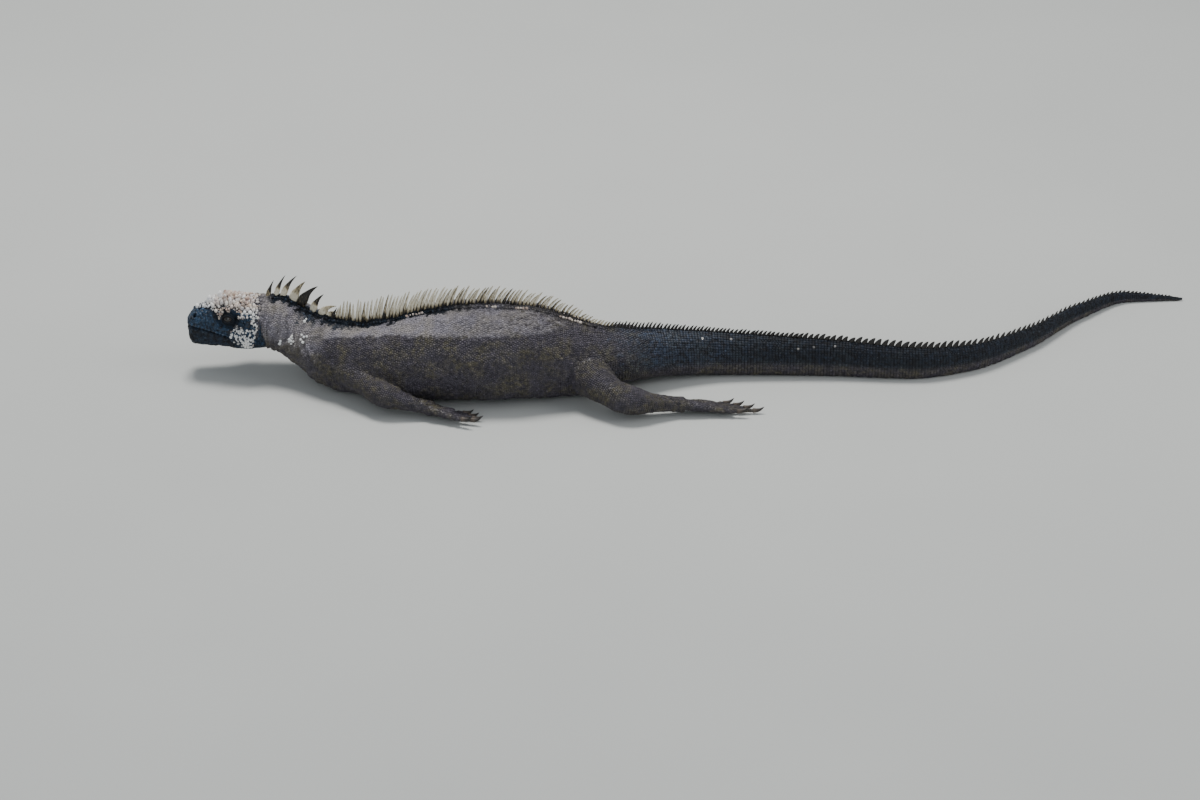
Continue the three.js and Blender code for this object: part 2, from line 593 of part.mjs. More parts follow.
// Low scutes on the jowl, above or below the cut of the mouth, clear of the ear opening
function cheekScutes(hand, above) {
  const scutes = [];
  for (let at = CHEEK.from; at <= CHEEK.to; at += CHEEK.pitch) {
    for (let z = CHEEK.low; z <= CHEEK.high; z += CHEEK.pitch) {
      const side = z - mouthLine(at);
      if (Math.abs(side) < CHEEK.clear || side > 0 !== above) continue;
      scutes.push(knob(headSurface(at, z, hand), CHEEK.radius, CHEEK.height));
    }
  }
  return scutes;
}

// A few raised scales along the side of the neck
function neckKnobs(hand) {
  const angle = THREE.MathUtils.degToRad(hand > 0 ? NECK_KNOBS.angle : 180 - NECK_KNOBS.angle);
  const count = Math.round((NECK_KNOBS.to - NECK_KNOBS.from) / NECK_KNOBS.pitch);
  return steps(NECK_KNOBS.from, NECK_KNOBS.to, count).map((at) => {
    const place = { point: bodyPoint(at, angle), out: bodyNormal(at, angle) };
    return knob(place, NECK_KNOBS.radius, NECK_KNOBS.height);
  });
}

// Legs

// One length of a leg between two shares of its way from root to wrist or ankle
function legLength(joints, girth, from, to, rings) {
  const [a, b] = [from + (from > 0 ? LEG.jointGap : 0), to - (to < 1 ? LEG.jointGap : 0)];
  return tube(joints.slice(0, 3), girth, { rings, sides: 10, from: a, to: b, flat: LEG.flat });
}

// The palm and toes of a hand or foot, and the places of its claws
function paw(joints, plan, hand) {
  const [wrist, knuckles] = joints.slice(2).map((p) => vec(...p));
  const along = knuckles.clone().sub(wrist).normalize();
  const dorsal = vec(plan.dorsal[0], plan.dorsal[1] * hand, plan.dorsal[2]).normalize();
  const outer = vec(0, 0, 0).crossVectors(along, dorsal).normalize();
  if (outer.y * hand < 0) outer.negate();
  const thin = vec(0, 0, 0).crossVectors(along, outer).normalize();
  const frame = { knuckles, along, dorsal, outer, thin };
  const digits = plan.digits.map((length, i) => digit(frame, plan, length, i));
  const forms = [palm(wrist, frame, plan), ...digits.map(({ made }) => made)];
  const joint = curveThrough(joints.slice(0, 3)).getTangentAt(1);
  const made = joined(forms).trimByPlane(joint.toArray(), joint.dot(wrist) + GAP);
  return { made, claws: digits.map(({ end }) => end) };
}

function palm(wrist, { knuckles, along, thin }, plan) {
  const start = wrist.clone().addScaledVector(along, -PALM.behind);
  const end = knuckles.clone().addScaledVector(along, PALM.ahead);
  const path = [start, wrist.clone().lerp(end, 0.5), end].map((p) => p.toArray());
  const radii = PALM.widths.map((share) => share * plan.wide);
  return tube(path, radii, { rings: 4, sides: 10, thin, flat: plan.thick / plan.wide });
}

// A slightly arched digit, counted from the inner side, and where its claw grows
function digit({ knuckles, along, dorsal, outer, thin }, plan, length, i) {
  const fan = THREE.MathUtils.degToRad((i - 2) * plan.spread);
  const root = knuckles.clone()
    .addScaledVector(outer, (i - 2) * plan.wide * DIGIT.apart)
    .addScaledVector(along, -DIGIT.root);
  const way = along.clone().multiplyScalar(Math.cos(fan)).addScaledVector(outer, Math.sin(fan));
  const reach = length + DIGIT.root;
  const [middle, tip] = [[0.5, DIGIT.arch], [1, 0]]
    .map(([share, lift]) => root.clone().addScaledVector(way, reach * share).addScaledVector(dorsal, lift));
  const [thick, slim] = plan.digitRadius;
  const path = [root, middle, tip].map((p) => p.toArray());
  const radii = [thick, thick * DIGIT.middle, slim * DIGIT.last, slim];
  const made = tube(path, radii, { rings: 3, sides: 5, thin, flat: DIGIT.flat });
  return { made, end: { root: tip, way: tip.clone().sub(middle).normalize(), dorsal, radius: slim } };
}

function claw({ root, way, dorsal, radius }, length) {
  const path = CLAW.path.map(([share, drop]) => root.clone()
    .addScaledVector(way, GAP + length * share)
    .addScaledVector(dorsal, -length * drop)
    .toArray());
  const radii = [...CLAW.radii.map((share) => share * radius), CLAW.tip];
  return tube(path, radii, { rings: 3, sides: 5, thin: dorsal, flat: CLAW.deep });
}

// Materials, from the photograph

const skin = (color) => new THREE.MeshStandardMaterial({ color, roughness: 0.75, metalness: 0 });
const MATERIALS = {
  head: skin(0x8a8078),
  jaw: skin(0x1c2226),
  trunk: skin(0x4a474a),
  tail: skin(0x25262b),
  leg: skin(0x33312f),
  claw: skin(0x1b1917),
  eye: new THREE.MeshStandardMaterial({ color: 0x2a1a10, roughness: 0.12, metalness: 0 }),
  eardrum: skin(0x23262c),
};

// Assembly

const iguana = new THREE.Group();
iguana.position.set(-BODY_LENGTH / 2, -ORIGIN_SIDE, 0);

function addNode(name, made, material) {
  const mesh = new THREE.Mesh(geometryOf(largest(aboveFloor(made))), MATERIALS[material]);
  mesh.name = name;
  iguana.add(mesh);
}

addNode('head', head(), 'head');
addNode('lower_jaw', lowerJaw(), 'jaw');
addNode('neck', neck(), 'trunk');
addNode('torso', torso(), 'trunk');
TAIL.forEach((places, i) => {
  const end = i === TAIL.length - 1 ? CREST_END : TAIL_JOINTS[i + 1] - 2 * GAP;
  const made = bodyLength(places, TAIL_SIDES).add(toothedFin(TAIL_JOINTS[i] + 2 * GAP, end));
  addNode(`tail_${i + 1}`, made, 'tail');
});

const trunkGrown = bodyLength([...NECK, ...TORSO, ...TAIL[0]], TRUNK_SIDES, GAP);
for (const [side, hand] of [['left', -1], ['right', 1]]) {
  addNode(`eye_${side}`, eyeball(hand), 'eye');
  addNode(`eardrum_${side}`, eardrum(hand), 'eardrum');
  const arm = FORELEG[side];
  addNode(`upper_arm_${side}`, legLength(arm, FORELEG_GIRTH, 0, LEG.elbow, 7).subtract(trunkGrown), 'leg');
  addNode(`forearm_${side}`, legLength(arm, FORELEG_GIRTH, LEG.elbow, 1, 6).subtract(trunkGrown), 'leg');
  const leg = HIND_LEG[side];
  addNode(`thigh_${side}`, legLength(leg, HIND_GIRTH, 0, LEG.knee, 7).subtract(trunkGrown), 'leg');
  addNode(`shank_${side}`, legLength(leg, HIND_GIRTH, LEG.knee, 1, 6).subtract(trunkGrown), 'leg');
  for (const [name, joints, plan] of [['hand', arm, HAND], ['foot', leg, FOOT]]) {
    const { made, claws } = paw(joints, plan, hand);
    addNode(`${name}_${side}`, made.subtract(trunkGrown), 'leg');
    claws.forEach((place, i) => addNode(`claw_${name}_${side}_${i + 1}`, claw(place, plan.claw), 'claw'));
  }
}

export default iguana;
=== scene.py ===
"""A marine iguana at life size, laid on its belly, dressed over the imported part.

Lengths are millimetres in the part's own measures until a piece is made: "at" is the distance behind the
snout tip, "side" the distance towards the animal's right, and z the height above the floor.
"""
import math

import bmesh
import bpy
import numpy as np
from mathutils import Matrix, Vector
from mathutils.bvhtree import BVHTree

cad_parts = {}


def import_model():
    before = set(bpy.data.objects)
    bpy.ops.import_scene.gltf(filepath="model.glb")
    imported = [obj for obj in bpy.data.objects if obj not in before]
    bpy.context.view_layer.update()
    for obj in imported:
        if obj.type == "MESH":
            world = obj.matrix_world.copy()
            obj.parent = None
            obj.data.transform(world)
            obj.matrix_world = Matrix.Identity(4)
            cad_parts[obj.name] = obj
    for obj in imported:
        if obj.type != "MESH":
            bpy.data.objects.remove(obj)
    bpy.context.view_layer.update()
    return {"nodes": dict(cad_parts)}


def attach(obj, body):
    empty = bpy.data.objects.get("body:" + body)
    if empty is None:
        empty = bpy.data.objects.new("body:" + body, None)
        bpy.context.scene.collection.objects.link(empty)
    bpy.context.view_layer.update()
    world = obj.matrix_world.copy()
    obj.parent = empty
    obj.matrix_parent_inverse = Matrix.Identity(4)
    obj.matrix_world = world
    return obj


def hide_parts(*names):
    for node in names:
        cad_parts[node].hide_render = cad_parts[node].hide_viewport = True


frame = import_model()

# The body's driving dimensions

BODY_LENGTH = 1064
HEAD_END = 80
VENT = 440
MIDDLE = (BODY_LENGTH / 2, 55, 0)  # of the model's box, on the floor
PER_METRE = 1000
SKIN_DEPTH = 0.6  # how far the skin lies inside the solids
VOXEL = 1.2
FINER_BEFORE = (HEAD_END + 14, HEAD_END - 4)  # where the skin's faces are split, and split again
SEED = 11
HANDS = {"left": -1, "right": 1}  # which way each side lies

# Cross-sections: at, side of the middle, back, underside, half width, squareness
SECTIONS = [
    (0, 40, 58, 40, 8.5, 2.4),  # snout front
    (1.5, 40, 62.5, 36, 12.3, 2.5),
    (4, 40, 67, 33.4, 15, 2.5),
    (9, 40, 71.5, 31.6, 17, 2.5),  # nostrils
    (18, 40, 75.5, 31, 18.6, 2.5),
    (30, 40, 79.5, 30.5, 20.6, 2.5),  # forehead
    (43, 40, 82, 30, 23.3, 2.5),  # eyes
    (55, 40, 82.5, 29.5, 26.4, 2.4),
    (67, 40.2, 82.5, 29.5, 28, 2.3),  # jowls
    (82, 41, 83.5, 29.5, 27.5, 2.15),
    (98, 38.5, 84, 26, 28.5, 2.1),  # neck hump
    (124, 29.5, 75, 15, 32, 2.1),
    (152, 15.5, 69.5, 2.5, 38.5, 2.15),  # shoulders
    (172, 8.5, 69, -0.8, 43, 2.2),
    (208, 2, 75.5, -1.2, 50, 2.2),  # chest
    (252, -1, 88, -1.2, 56.5, 2.15),
    (307, -1, 93.5, -1.2, 59, 2.1),  # belly
    (352, -1, 91.5, -1.2, 55, 2.1),
    (390, -1, 82, -1, 46, 2.1),
    (420, -1, 71.5, 1.5, 37.5, 2.1),  # hips
    (440, 3, 66, 7, 31, 2),
    (490, 21, 55.5, 5, 22.5, 2),  # tail root
    (560, 31, 46.5, -0.4, 15.5, 2),
    (660, 28, 40.5, -0.8, 10.8, 2),
    (753, 20.5, 34.5, -0.8, 8.4, 2),
    (808, 34, 30, -0.8, 7.2, 2),
    (880, 86, 23.5, -0.8, 5.8, 2),
    (943, 155, 17.5, -0.8, 4.6, 2),
    (1004, 198, 11.5, -0.8, 3.4, 2),
    (1064, 201, 4.2, -0.8, 1.5, 2),  # tail tip
]
WAIST = 0.42  # height of the widest level, as a share of the section
BELLY_SQUARE = 0.3  # how much squarer the lower half is than the upper
# The fold of skin that carries the crest, high on the trunk and low on the tail
RIDGE = {"half": 2.08, "trunk": 4.4, "tail": 0.9, "start": (HEAD_END - 2, HEAD_END + 8), "sinks": (330, 560)}

# Legs: the middle of each joint
LEGS = {
    "arm_left": [(152, 0, 35), (206, -57, 22), (257, -69, 10), (276, -72, 7)],
    "arm_right": [(152, 24, 35), (210, 61, 22), (259, 66, 10), (278, 70, 7)],
    "leg_left": [(398, -8, 36), (450, -66, 22), (514, -60, 10.5), (544, -56, 6.8)],
    "leg_right": [(398, 6, 36), (449, 66, 22), (510, 76, 10.5), (539, 82, 6.8)],
}
GIRTH = {"arm": [17, 17.5, 13, 13.5, 9, 8], "leg": [22, 22.5, 17, 15.5, 10, 9]}
LEG_FLAT = 0.92
WRIST_SHARE = 0.7  # of the way from shoulder or hip to the tips of the digits
# Swells down a leg: height, share of the way, width
MUSCLES = [(0.9, 0.34, 0.12), (-0.9, 0.47, 0.05), (1.0, 0.66, 0.1)]
ELBOW_AND_WRIST = [(0.7, 0.54, 0.03), (-0.8, 0.92, 0.06)]
PAW = {
    "arm": {"node": "hand", "wide": 11.5, "thick": 5.4, "spread": 8, "digit": (3.6, 2.7),
            "digits": (13, 19, 24, 24, 16), "claw": 11, "back": (0, 0.28, -0.96)},
    "leg": {"node": "foot", "wide": 12, "thick": 5.6, "spread": 6, "digit": (3.8, 2.7),
            "digits": (15, 24, 33, 41, 24), "claw": 11.5, "back": (0, 0.2, -0.98)},
}
DIGITS = 5
DIGIT_ROOT = 10
DIGIT_GAP = 0.34  # between the roots of digits, as a share of a paw's half width
PAW_GIRTH = (0.74, 0.95, 1, 0.8)
PAW_OVERLAP = (5, 3)  # how far a paw reaches back into the wrist and on over the knuckles
KNUCKLES = {"count": 3.2, "width": 0.22, "swell": 0.7}
CLAW_BEND = [(0, 0), (0.35, 0.02), (0.7, 0.14), (1, 0.36)]  # along and down, as shares of its length
CLAW_GIRTH = (0.85, 0.72, 0.45)

# Features of the head. A tuple of three is the height, middle and width of a swell.
MOUTH_LINE = [(-20, 56.5), (0, 56.5), (47, 47), (68, 43), (120, 43)]  # at and z
MOUTH_CORNER = 47
LIPS = [(-1.9, 0, 0.8), (0.9, 2.6, 1.6), (0.5, -2.8, 1.8)]
JAW_STEP = {"deep": 0.7, "over": 0.6}
EYE = {"at": 43.5, "z": 68.5, "radius": 6.4, "depth": 4.6, "long": 5.0, "tall": 2.7, "stretch": 1.25}
SOCKET = {"deep": 3.0, "radius": 6.8, "groove": (-1.8, 8.6, 1.7)}
EYE_HOLLOW = {"deep": 1.6, "long": 13, "tall": 6.5, "down": 1}
EYE_BAG = {"stretch": 1.9, "down": 9.5, "swell": (0.9, 4, 1.5), "below": (6, 9)}
BROW = np.array([(25, 73), (34, 75.8), (43.5, 76.8), (51, 75), (59, 69.5)])  # at and z
BROW_SWELL = (3.3, 3.1)  # height and width
NOSTRIL = {"at": 8, "z": 67.6, "radius": 2.2, "deep": 3.4, "tall": 1.15, "rim": (0.9, 3.3, 1.1)}
EARDRUM = {"at": 63.5, "z": 63.5, "half": 3.6, "tall": 4.5, "sunk": 1.7, "rim": (0.7, 1.25, 0.2)}
JOWL = {"at": 61, "z": 45, "swell": 1.3, "wide": 9}
JAW_GAP = {"at": 75, "half": 1.2, "widening": 0.29, "below": 58, "height": (33, 37, 62, 68), "deep": 1.2}
# The folds of a lid: how far each ring lies from its edge, as an angle, and how far outside the eyeball
LID_FOLDS = [(-0.02, 0.05), (-0.01, 0.6), (0.03, 1.05), (0.1, 1.15), (0.17, 0.8), (0.22, 0.65), (0.3, 1.2),
             (0.38, 1.35), (0.46, 0.8), (0.54, 0.85), (0.64, 1.35), (0.74, 1.2), (0.86, 0.7), (1.0, 0.4)]
LID_SCALE_ROWS = [(3, 40), (7, 44), (8, 44), (10, 46), (11, 46)]  # which ring, and how many scales on it

# Folds of the skin. A zone is four places along the body: where a thing starts, is full, fades and ends.
NECK_FOLDS = {"zone": (74, 86, 150, 172), "pitch": 10.5, "lean": 0.15, "warp": 4, "height": 0.9}
FLANK_FOLDS = {"zone": (175, 215, 400, 430), "pitch": 19, "lean": 0.35, "warp": 6.4, "height": 0.6}
LOOSE_SKIN = {"zone": (60, 100, 430, 520), "size": 26, "height": 0.5}
PORES = {"size": 7, "height": 0.18}
HEAD_ZONE = (0.8, 2.5, 74, 90)  # where the skin is drawn to the head's exact surface
HEAD_FADE = (80, 90)  # where the relief of the head ends

# Markings and painted light. Pairs say where a change starts and ends, mostly along the body; edge and
# specks are at and z.
DRY_EDGE = [(150, 59), (162, 62), (205, 69), (252, 77), (345, 79), (372, 77), (398, 79), (412, 90)]
DRY_BACK = (140, 156, 345, 410)
DRY_NECK = (71, 75, 142, 160)
NECK_WET = {"z": 51, "fall": 0.1, "fade": (-8, 6), "least": 0.2}
# The nape patches are painted shade below the tall neck spines; the ridge line is the ridge's dark skin with
# painted shadow below the crest.
NAPE_PATCHES = [(130, 12, 13), (161, 8, 11)]  # at, half length, half width
NAPE_EDGE = 5
RIDGE_LINE = {"half": (1.8, 4.6), "wider": (3.4, 4.4), "front": (250, 330), "start": (82, 92)}
SNOUT_END = (68, 74)
CROWN_END = (69, 77)
BARE_SNOUT = (17, 26)
TAIL_START = (422, 485)
TAIL_DARKENS = (420, 640)
WHITE_SNOUT = (24, 38)
# Where the painted shade on the lower jaw ends
CHIN_END = (50, 62)
CROWN = {"height": (60, 64), "start": (8, 10), "end": (76, 84)}
PALER_FRONT = (230, 310)
CHEEK = {"corner": 43.5, "lean": 0.574, "z": 49.7, "low_corner": 44.5, "low_lean": 1.86, "low_z": 45,
         "rear": 67.5, "rear_lean": 0.2, "rear_z": 38, "height": (34, 37, 76, 79)}
BARE_PATCH = {"at": 60, "z": 65.5, "long": 7, "tall": 5.8}  # behind the eye
# The painted shadow under the brow, round the eye
ORBIT = {"at": 42, "z": 69.5, "long": 17, "tall": 9.5, "tilt": math.radians(24)}
PALE_FOOT = [(229, 247), (312, 321), (342, 354), (384, 411)]  # along the foot of the crest
SPECKS = [(534, 45), (563, 43), (634, 33), (650, 34.5), (673, 36)]  # the white scales of the tail, salt-white, partly painted glints

# Scales. The first four tables give a value along the body.
CROWN_REACH = [(6, 2), (9, 3.5), (21, 9), (31, 14.5), (46, 18), (60, 20), (74, 21.5), (84, 20)]
KNOB_HEIGHT = [(8, 2.2), (20, 4.2), (30, 6.4), (42, 6.8), (50, 6), (58, 4.4), (68, 2.8), (82, 1)]
BODY_PITCH = [(80, 2.3), (150, 2.35), (250, 2.5), (400, 2.45), (470, 2.7), (600, 2.8), (900, 2.4),
              (1064, 1.5)]
TAIL_PITCH = [(460, 2.8), (600, 3.2), (900, 2.8), (1064, 1.9)]
TAIL_ROWS_FROM = 470
LIMB_PITCH = 2.2
DIGIT_PITCH = 1.9
ROW_STEP = 0.87  # between rows of scales, as a share of the pitch
NEAT_ROWS = (430, 480)  # where the rows become regular
BIG_SCALES = {"share": 0.035, "to": 460, "height": 1.6}  # the few that stand out of the rest
TAIL_TIP = (960, 1045)  # where the scales flatten
COAT_ENDS = {"neck": 158, "chest": 300, "belly": VENT, "tail_root": 640, "tail": BODY_LENGTH + 1}
# Radius and room of a scale as shares of the pitch: in the rows, then in the passes that fill what is bare
ROW_SCALE = (0.5, 0.43)
PASSES = [(0.5, 0.45), (0.37, 0.33), (0.27, 0.245)]
DENSITY = {"body": 0.9, "head": 3.0}  # places tried to a square millimetre
HEAD_PASSES = (1, 0.62, 0.4)
HEAD_SCALE = {"radius": 1.75, "height": 0.34, "least": 0.25}
CHEEK_SCALES = {"from": (45, 52), "above": (33, 38)}
THROAT = (33, 37)
# How far from each the skin has no scales, for the nostril from its rim
BARE = {"lips": 4.3, "corner": 1.2, "nostril": 1.1, "eye": 7.6, "eardrum": 4.2}
FINER_ROUND_EYE = (10, 14)
ON_BODY = 1.12  # how far out from the middle a point still counts as on the body, where its skin is 1
PATCH = 0.0014  # half the width of a scale on the unwrap
UNWRAP_EDGE = 0.02
CRUSTED = 1.6  # the share of salt on what is white all over
# The tall white knobs at the front of the crown: at, distance to the right, radius and height
FRONT_KNOBS = [(11, 0, 2.5, 4.4), (15, 3.5, 1.6, 2.4), (17.5, -4, 2.0, 3.2), (22.3, 1.5, 3.5, 9),
               (26.5, -6.5, 2.1, 3.6), (28, 8, 2.3, 4.8), (29, -1, 2.4, 5.4), (33, 4.5, 3.2, 9.8),
               (35, -5, 2.3, 5.2)]
# Clusters of white knobs on the side of the neck: at and z of their middles, how wide, and how many
CLUSTERS = [(106, 47, 3.4, 9), (121, 52.5, 3.2, 9), (136, 58, 4.0, 8), (131, 69.5, 1.2, 2)]
LIP_ROWS = {"heights": (2.6, -2.7), "from": 1.5, "step": 3.7, "front": np.linspace(-8, 8, 5)}
GRAINS_PER_KNOB = 4
FOOT_ROW = {"from": 86, "to": 430, "step": 2.9, "aside": 3.0}  # the small scales at the foot of the crest

# The spines of the neck, one by one: at, length, width, lean in degrees, how dark at the root and at the tip
NECK_SPINES = [
    (83.5, 19.5, 4.2, 20, 0.6, 1.0),
    (92, 25.5, 4.6, 24, 0.15, 0.95),
    (99, 30, 5.8, 32, 0.1, 0.95),
    (109.5, 28, 8.4, 32, 0.05, 0.7),
    (117.5, 31.5, 9.2, 39, 0.9, 1.0),
    (130.5, 26, 6.6, 33, 0.1, 0.95),
    (139, 24.5, 6.6, 54, 0.15, 0.55),
    (146, 15, 5.0, 60, 0.3, 0.7),
    (152, 13, 3.6, 24, 0.9, 1.0),
]
# Those behind them: at, length, width, pitch and lean
CREST = [
    (150, 9, 3.2, 3.6, 40),
    (157, 16, 3.4, 3.5, 12),
    (165, 22, 3.6, 3.5, 4),
    (200, 29.5, 3.7, 3.5, 10),
    (253, 27, 3.7, 3.7, 21),
    (315, 22, 3.6, 3.9, 27),
    (364, 18.5, 3.4, 3.8, 34),
    (395, 13.5, 3.1, 3.6, 38),
    (428, 7.5, 3.0, 3.4, 40),
    (458, 8.6, 3.2, 3.7, 28),
    (510, 7.8, 3.3, 3.8, 32),
    (600, 7.4, 3.9, 4.4, 34),
    (660, 7.9, 5.4, 6.0, 34),
    (720, 9.2, 6.4, 6.8, 32),
    (790, 9.2, 6.6, 6.8, 33),
    (870, 7.2, 5.4, 6.0, 36),
    (960, 5.0, 4.2, 5.2, 40),
    (1064, 1, 1.8, 3.4, 45),
]
CREST_PIECES = [("neck", 0, 153), ("back", 153, VENT), ("tail", VENT, BODY_LENGTH)]
CREST_END = BODY_LENGTH - 12
CREST_DARK = {"tail": (425, 455), "rear": (260, 340), "gap": (160, 9), "foot": (250, 320)}
SPINE = {"thick": 0.42, "sides": 8, "rings": 9, "sunk": 1.2, "root": 0.12, "last_ring": 0.93, "tip": 0.07,
         "sway": 0.05}  # thick is a share of its width; root, last ring and tip are shares of its length

# Stage. Each light: place, size, energy and colour. All aim at the middle of the floor.
LIGHTS = {
    "key": ((-0.5, 0.75, 2.7), 0.8, 70, (1.0, 0.98, 0.95)),
    "fill": ((-0.8, -3.0, 1.6), 2.4, 22, (0.92, 0.96, 1.0)),
    "side": ((2.2, -0.6, 1.7), 1.6, 18, (1.0, 1.0, 1.0)),
}
WORLD = {"colour": (0.84, 0.89, 0.94, 1), "strength": 0.42}
CAMERA = {"target": (-0.1038, -0.085, 0.0), "elevation": 28, "distance": 3.43333, "lens": 100, "sensor": 36}
FLOOR = [(-8, -6, 0), (8, -6, 0), (8, 12, 0), (-8, 12, 0)]

# Arrays and curves


def unit(v):
    return v / np.maximum(np.linalg.norm(v, axis=-1, keepdims=True), 1e-9)


def smooth(value, low, high):
    t = np.clip((value - low) / (high - low), 0, 1)
    return t * t * (3 - 2 * t)


def band(value, start, full, fade, end):
    """1 between full and fade, with smooth ends."""
    return smooth(value, start, full) * (1 - smooth(value, fade, end))


def bell(value, width):
    return np.exp(-(value / width) ** 2)


def plateau(value, width, power=4):
    """Like bell, with a flat top and steeper sides."""
    return np.exp(-(value / width) ** power)


def swells(value, table):
    return sum(height * bell(value - middle, width) for height, middle, width in table)


def circle(count):
    return np.linspace(0, 2 * math.pi, count, endpoint=False)


def column(table, key=1):
    """The value of a column of a table at any place, smooth and without overshoot (monotone cubic)."""
    table = np.array(table, float)
    x, y = table[:, 0], table[:, key]
    slope = np.diff(y) / np.diff(x)
    before, after = np.r_[slope[0], slope], np.r_[slope, slope[-1]]
    both = before * after > 0
    lean = np.where(both, 2 * before * after / np.where(both, before + after, 1), 0)

    def value(at):
        at = np.clip(np.asarray(at, float), x[0], x[-1])
        i = np.clip(np.searchsorted(x, at, side="right") - 1, 0, len(x) - 2)
        h = x[i + 1] - x[i]
        t = (at - x[i]) / h
        t2, t3 = t * t, t * t * t
        return ((2 * t3 - 3 * t2 + 1) * y[i] + (t3 - 2 * t2 + t) * h * lean[i]
                + (3 * t2 - 2 * t3) * y[i + 1] + (t3 - t2) * h * lean[i + 1])

    return value


def waves(points, size, seed, count=10):
    """Smooth noise of about -1 to 1, with bumps about size across."""
    rng = np.random.default_rng(seed)
    ways = unit(rng.normal(size=(count, 3))) * rng.uniform(0.7, 1.4, (count, 1)) * 2 * math.pi / size
    phases = rng.uniform(0, 2 * math.pi, count)
    return np.sin(points @ ways.T + phases).sum(1) * math.sqrt(2 / count)


def spline(joints, count):
    """Evenly spaced points, and the directions there, on a centripetal curve through the joints."""
    p = np.array(joints, float)
    p = np.vstack([2 * p[0] - p[1], p, 2 * p[-1] - p[-2]])
    fine = []
    for i in range(1, len(p) - 2):
        d0, d1, d2 = (np.linalg.norm(p[k + 1] - p[k]) ** 0.5 for k in (i - 1, i, i + 1))
        t1 = ((p[i] - p[i - 1]) / d0 - (p[i + 1] - p[i - 1]) / (d0 + d1)) * d1 + p[i + 1] - p[i]
        t2 = p[i + 1] - p[i] - ((p[i + 2] - p[i]) / (d1 + d2) - (p[i + 2] - p[i + 1]) / d2) * d1
        t = np.linspace(0, 1, 61)[:, None]
        fine.append(p[i] + t1 * t + (3 * (p[i + 1] - p[i]) - 2 * t1 - t2) * t ** 2
                    + (2 * (p[i] - p[i + 1]) + t1 + t2) * t ** 3)
    fine = np.vstack([fine[0]] + [part[1:] for part in fine[1:]])
    length = np.r_[0, np.cumsum(np.linalg.norm(np.diff(fine, axis=0), axis=1))]
    reach = np.linspace(0, 1, count) * length[-1]
    points = np.stack([np.interp(reach, length, fine[:, k]) for k in range(3)], 1)
    ways = unit(np.gradient(fine, length, axis=0))
    return points, unit(np.stack([np.interp(reach, length, ways[:, k]) for k in range(3)], 1))


# The body's line and cross-sections

section_side, section_top, section_bottom, section_half, section_square = (
    column(SECTIONS, key) for key in range(1, 6))
mouth_line, dry_edge, crown_reach, knob_height, body_pitch, tail_pitch = (
    column(table) for table in (MOUTH_LINE, DRY_EDGE, CROWN_REACH, KNOB_HEIGHT, BODY_PITCH, TAIL_PITCH))


def heading(at):
    """The direction of the body's line, and the one to its right."""
    slope = (section_side(at + 1) - section_side(at - 1)) / 2
    along = unit(np.stack([np.ones_like(slope), slope, np.zeros_like(slope)], -1))
    right = np.stack([-along[..., 1], along[..., 0], np.zeros_like(slope)], -1)
    return along, right


def ridge_height(at):
    fade = smooth(at, *RIDGE["sinks"])
    return smooth(at, *RIDGE["start"]) * (RIDGE["trunk"] * (1 - fade) + RIDGE["tail"] * fade)


def body_point(at, angle, grow=0.0):
    """A point on the body's surface: angle 0 points right, 90 degrees up, 180 left."""
    c, s = np.cos(angle), np.sin(angle)
    top, bottom = section_top(at) + grow, section_bottom(at) - grow
    middle = bottom + (top - bottom) * WAIST
    power = 2 / (section_square(at) + np.where(s < 0, BELLY_SQUARE, 0))
    across = (section_half(at) + grow) * np.sign(c) * np.abs(c) ** power
    up = np.where(s > 0, top - middle, middle - bottom) * np.sign(s) * np.abs(s) ** power
    up = up + np.where(s > 0, ridge_height(at) * bell(across, RIDGE["half"]), 0)
    place = np.stack(np.broadcast_arrays(at, section_side(at), middle + up), -1)
    return place + heading(at)[1] * across[..., None]


def body_normal(at, angle, step=0.5, turn=0.02):
    along_it = body_point(at + step, angle) - body_point(at - step, angle)
    round_it = body_point(at, angle + turn) - body_point(at, angle - turn)
    return unit(np.cross(round_it, along_it))


def body_coordinates(points, rounds=14, share=0.8):
    """For points near the body: at, distance right, angle, and distance from the middle (1 at the skin)."""
    at = points[:, 0].copy()
    for _ in range(rounds):
        at = np.clip(at, 0, BODY_LENGTH)
        along, _ = heading(at)
        off = points[:, :2] - np.stack([at, section_side(at)], 1)
        at = at + share * (off * along[:, :2]).sum(1)
    at = np.clip(at, 0, BODY_LENGTH)
    _, right = heading(at)
    across = ((points[:, :2] - np.stack([at, section_side(at)], 1)) * right[:, :2]).sum(1)
    top, bottom = section_top(at), section_bottom(at)
    middle = bottom + (top - bottom) * WAIST
    rise = points[:, 2] - middle
    u = across / section_half(at)
    v = rise / np.where(rise > 0, top - middle, middle - bottom)
    square = section_square(at) + np.where(rise < 0, BELLY_SQUARE, 0)
    far = (np.abs(u) ** square + np.abs(v) ** square) ** (1 / square)
    angle = np.arctan2(np.sign(v) * np.abs(v) ** (square / 2), np.sign(u) * np.abs(u) ** (square / 2))
    return at, across, angle, far


def head_surface(at, z, hand):
    """A point on the side of the head at a height, and the direction out of it."""
    at, z = float(at), float(z)
    top, bottom = section_top(at), section_bottom(at)
    middle = bottom + (top - bottom) * WAIST
    square = section_square(at) + (BELLY_SQUARE if z < middle else 0)
    share = min(0.999, abs(z - middle) / ((top - middle) if z > middle else (middle - bottom)))
    climb = math.copysign(math.asin(share ** (square / 2)), z - middle)
    angle = climb if hand > 0 else math.pi - climb
    at, angle = np.array([at]), np.array([angle])
    return body_point(at, angle)[0], body_normal(at, angle)[0]


def seat(thing, hand):
    """Where a nostril, eye or eardrum sits on a side of the head, and the direction out of it."""
    return head_surface(thing["at"], thing["z"], hand)


def side_ways(out):
    """The directions back along a side of the head, and square to that and to the one out of it."""
    back = unit(np.array([1.0, 0, 0]) - out * out[0])
    return back, unit(np.cross(back, out))


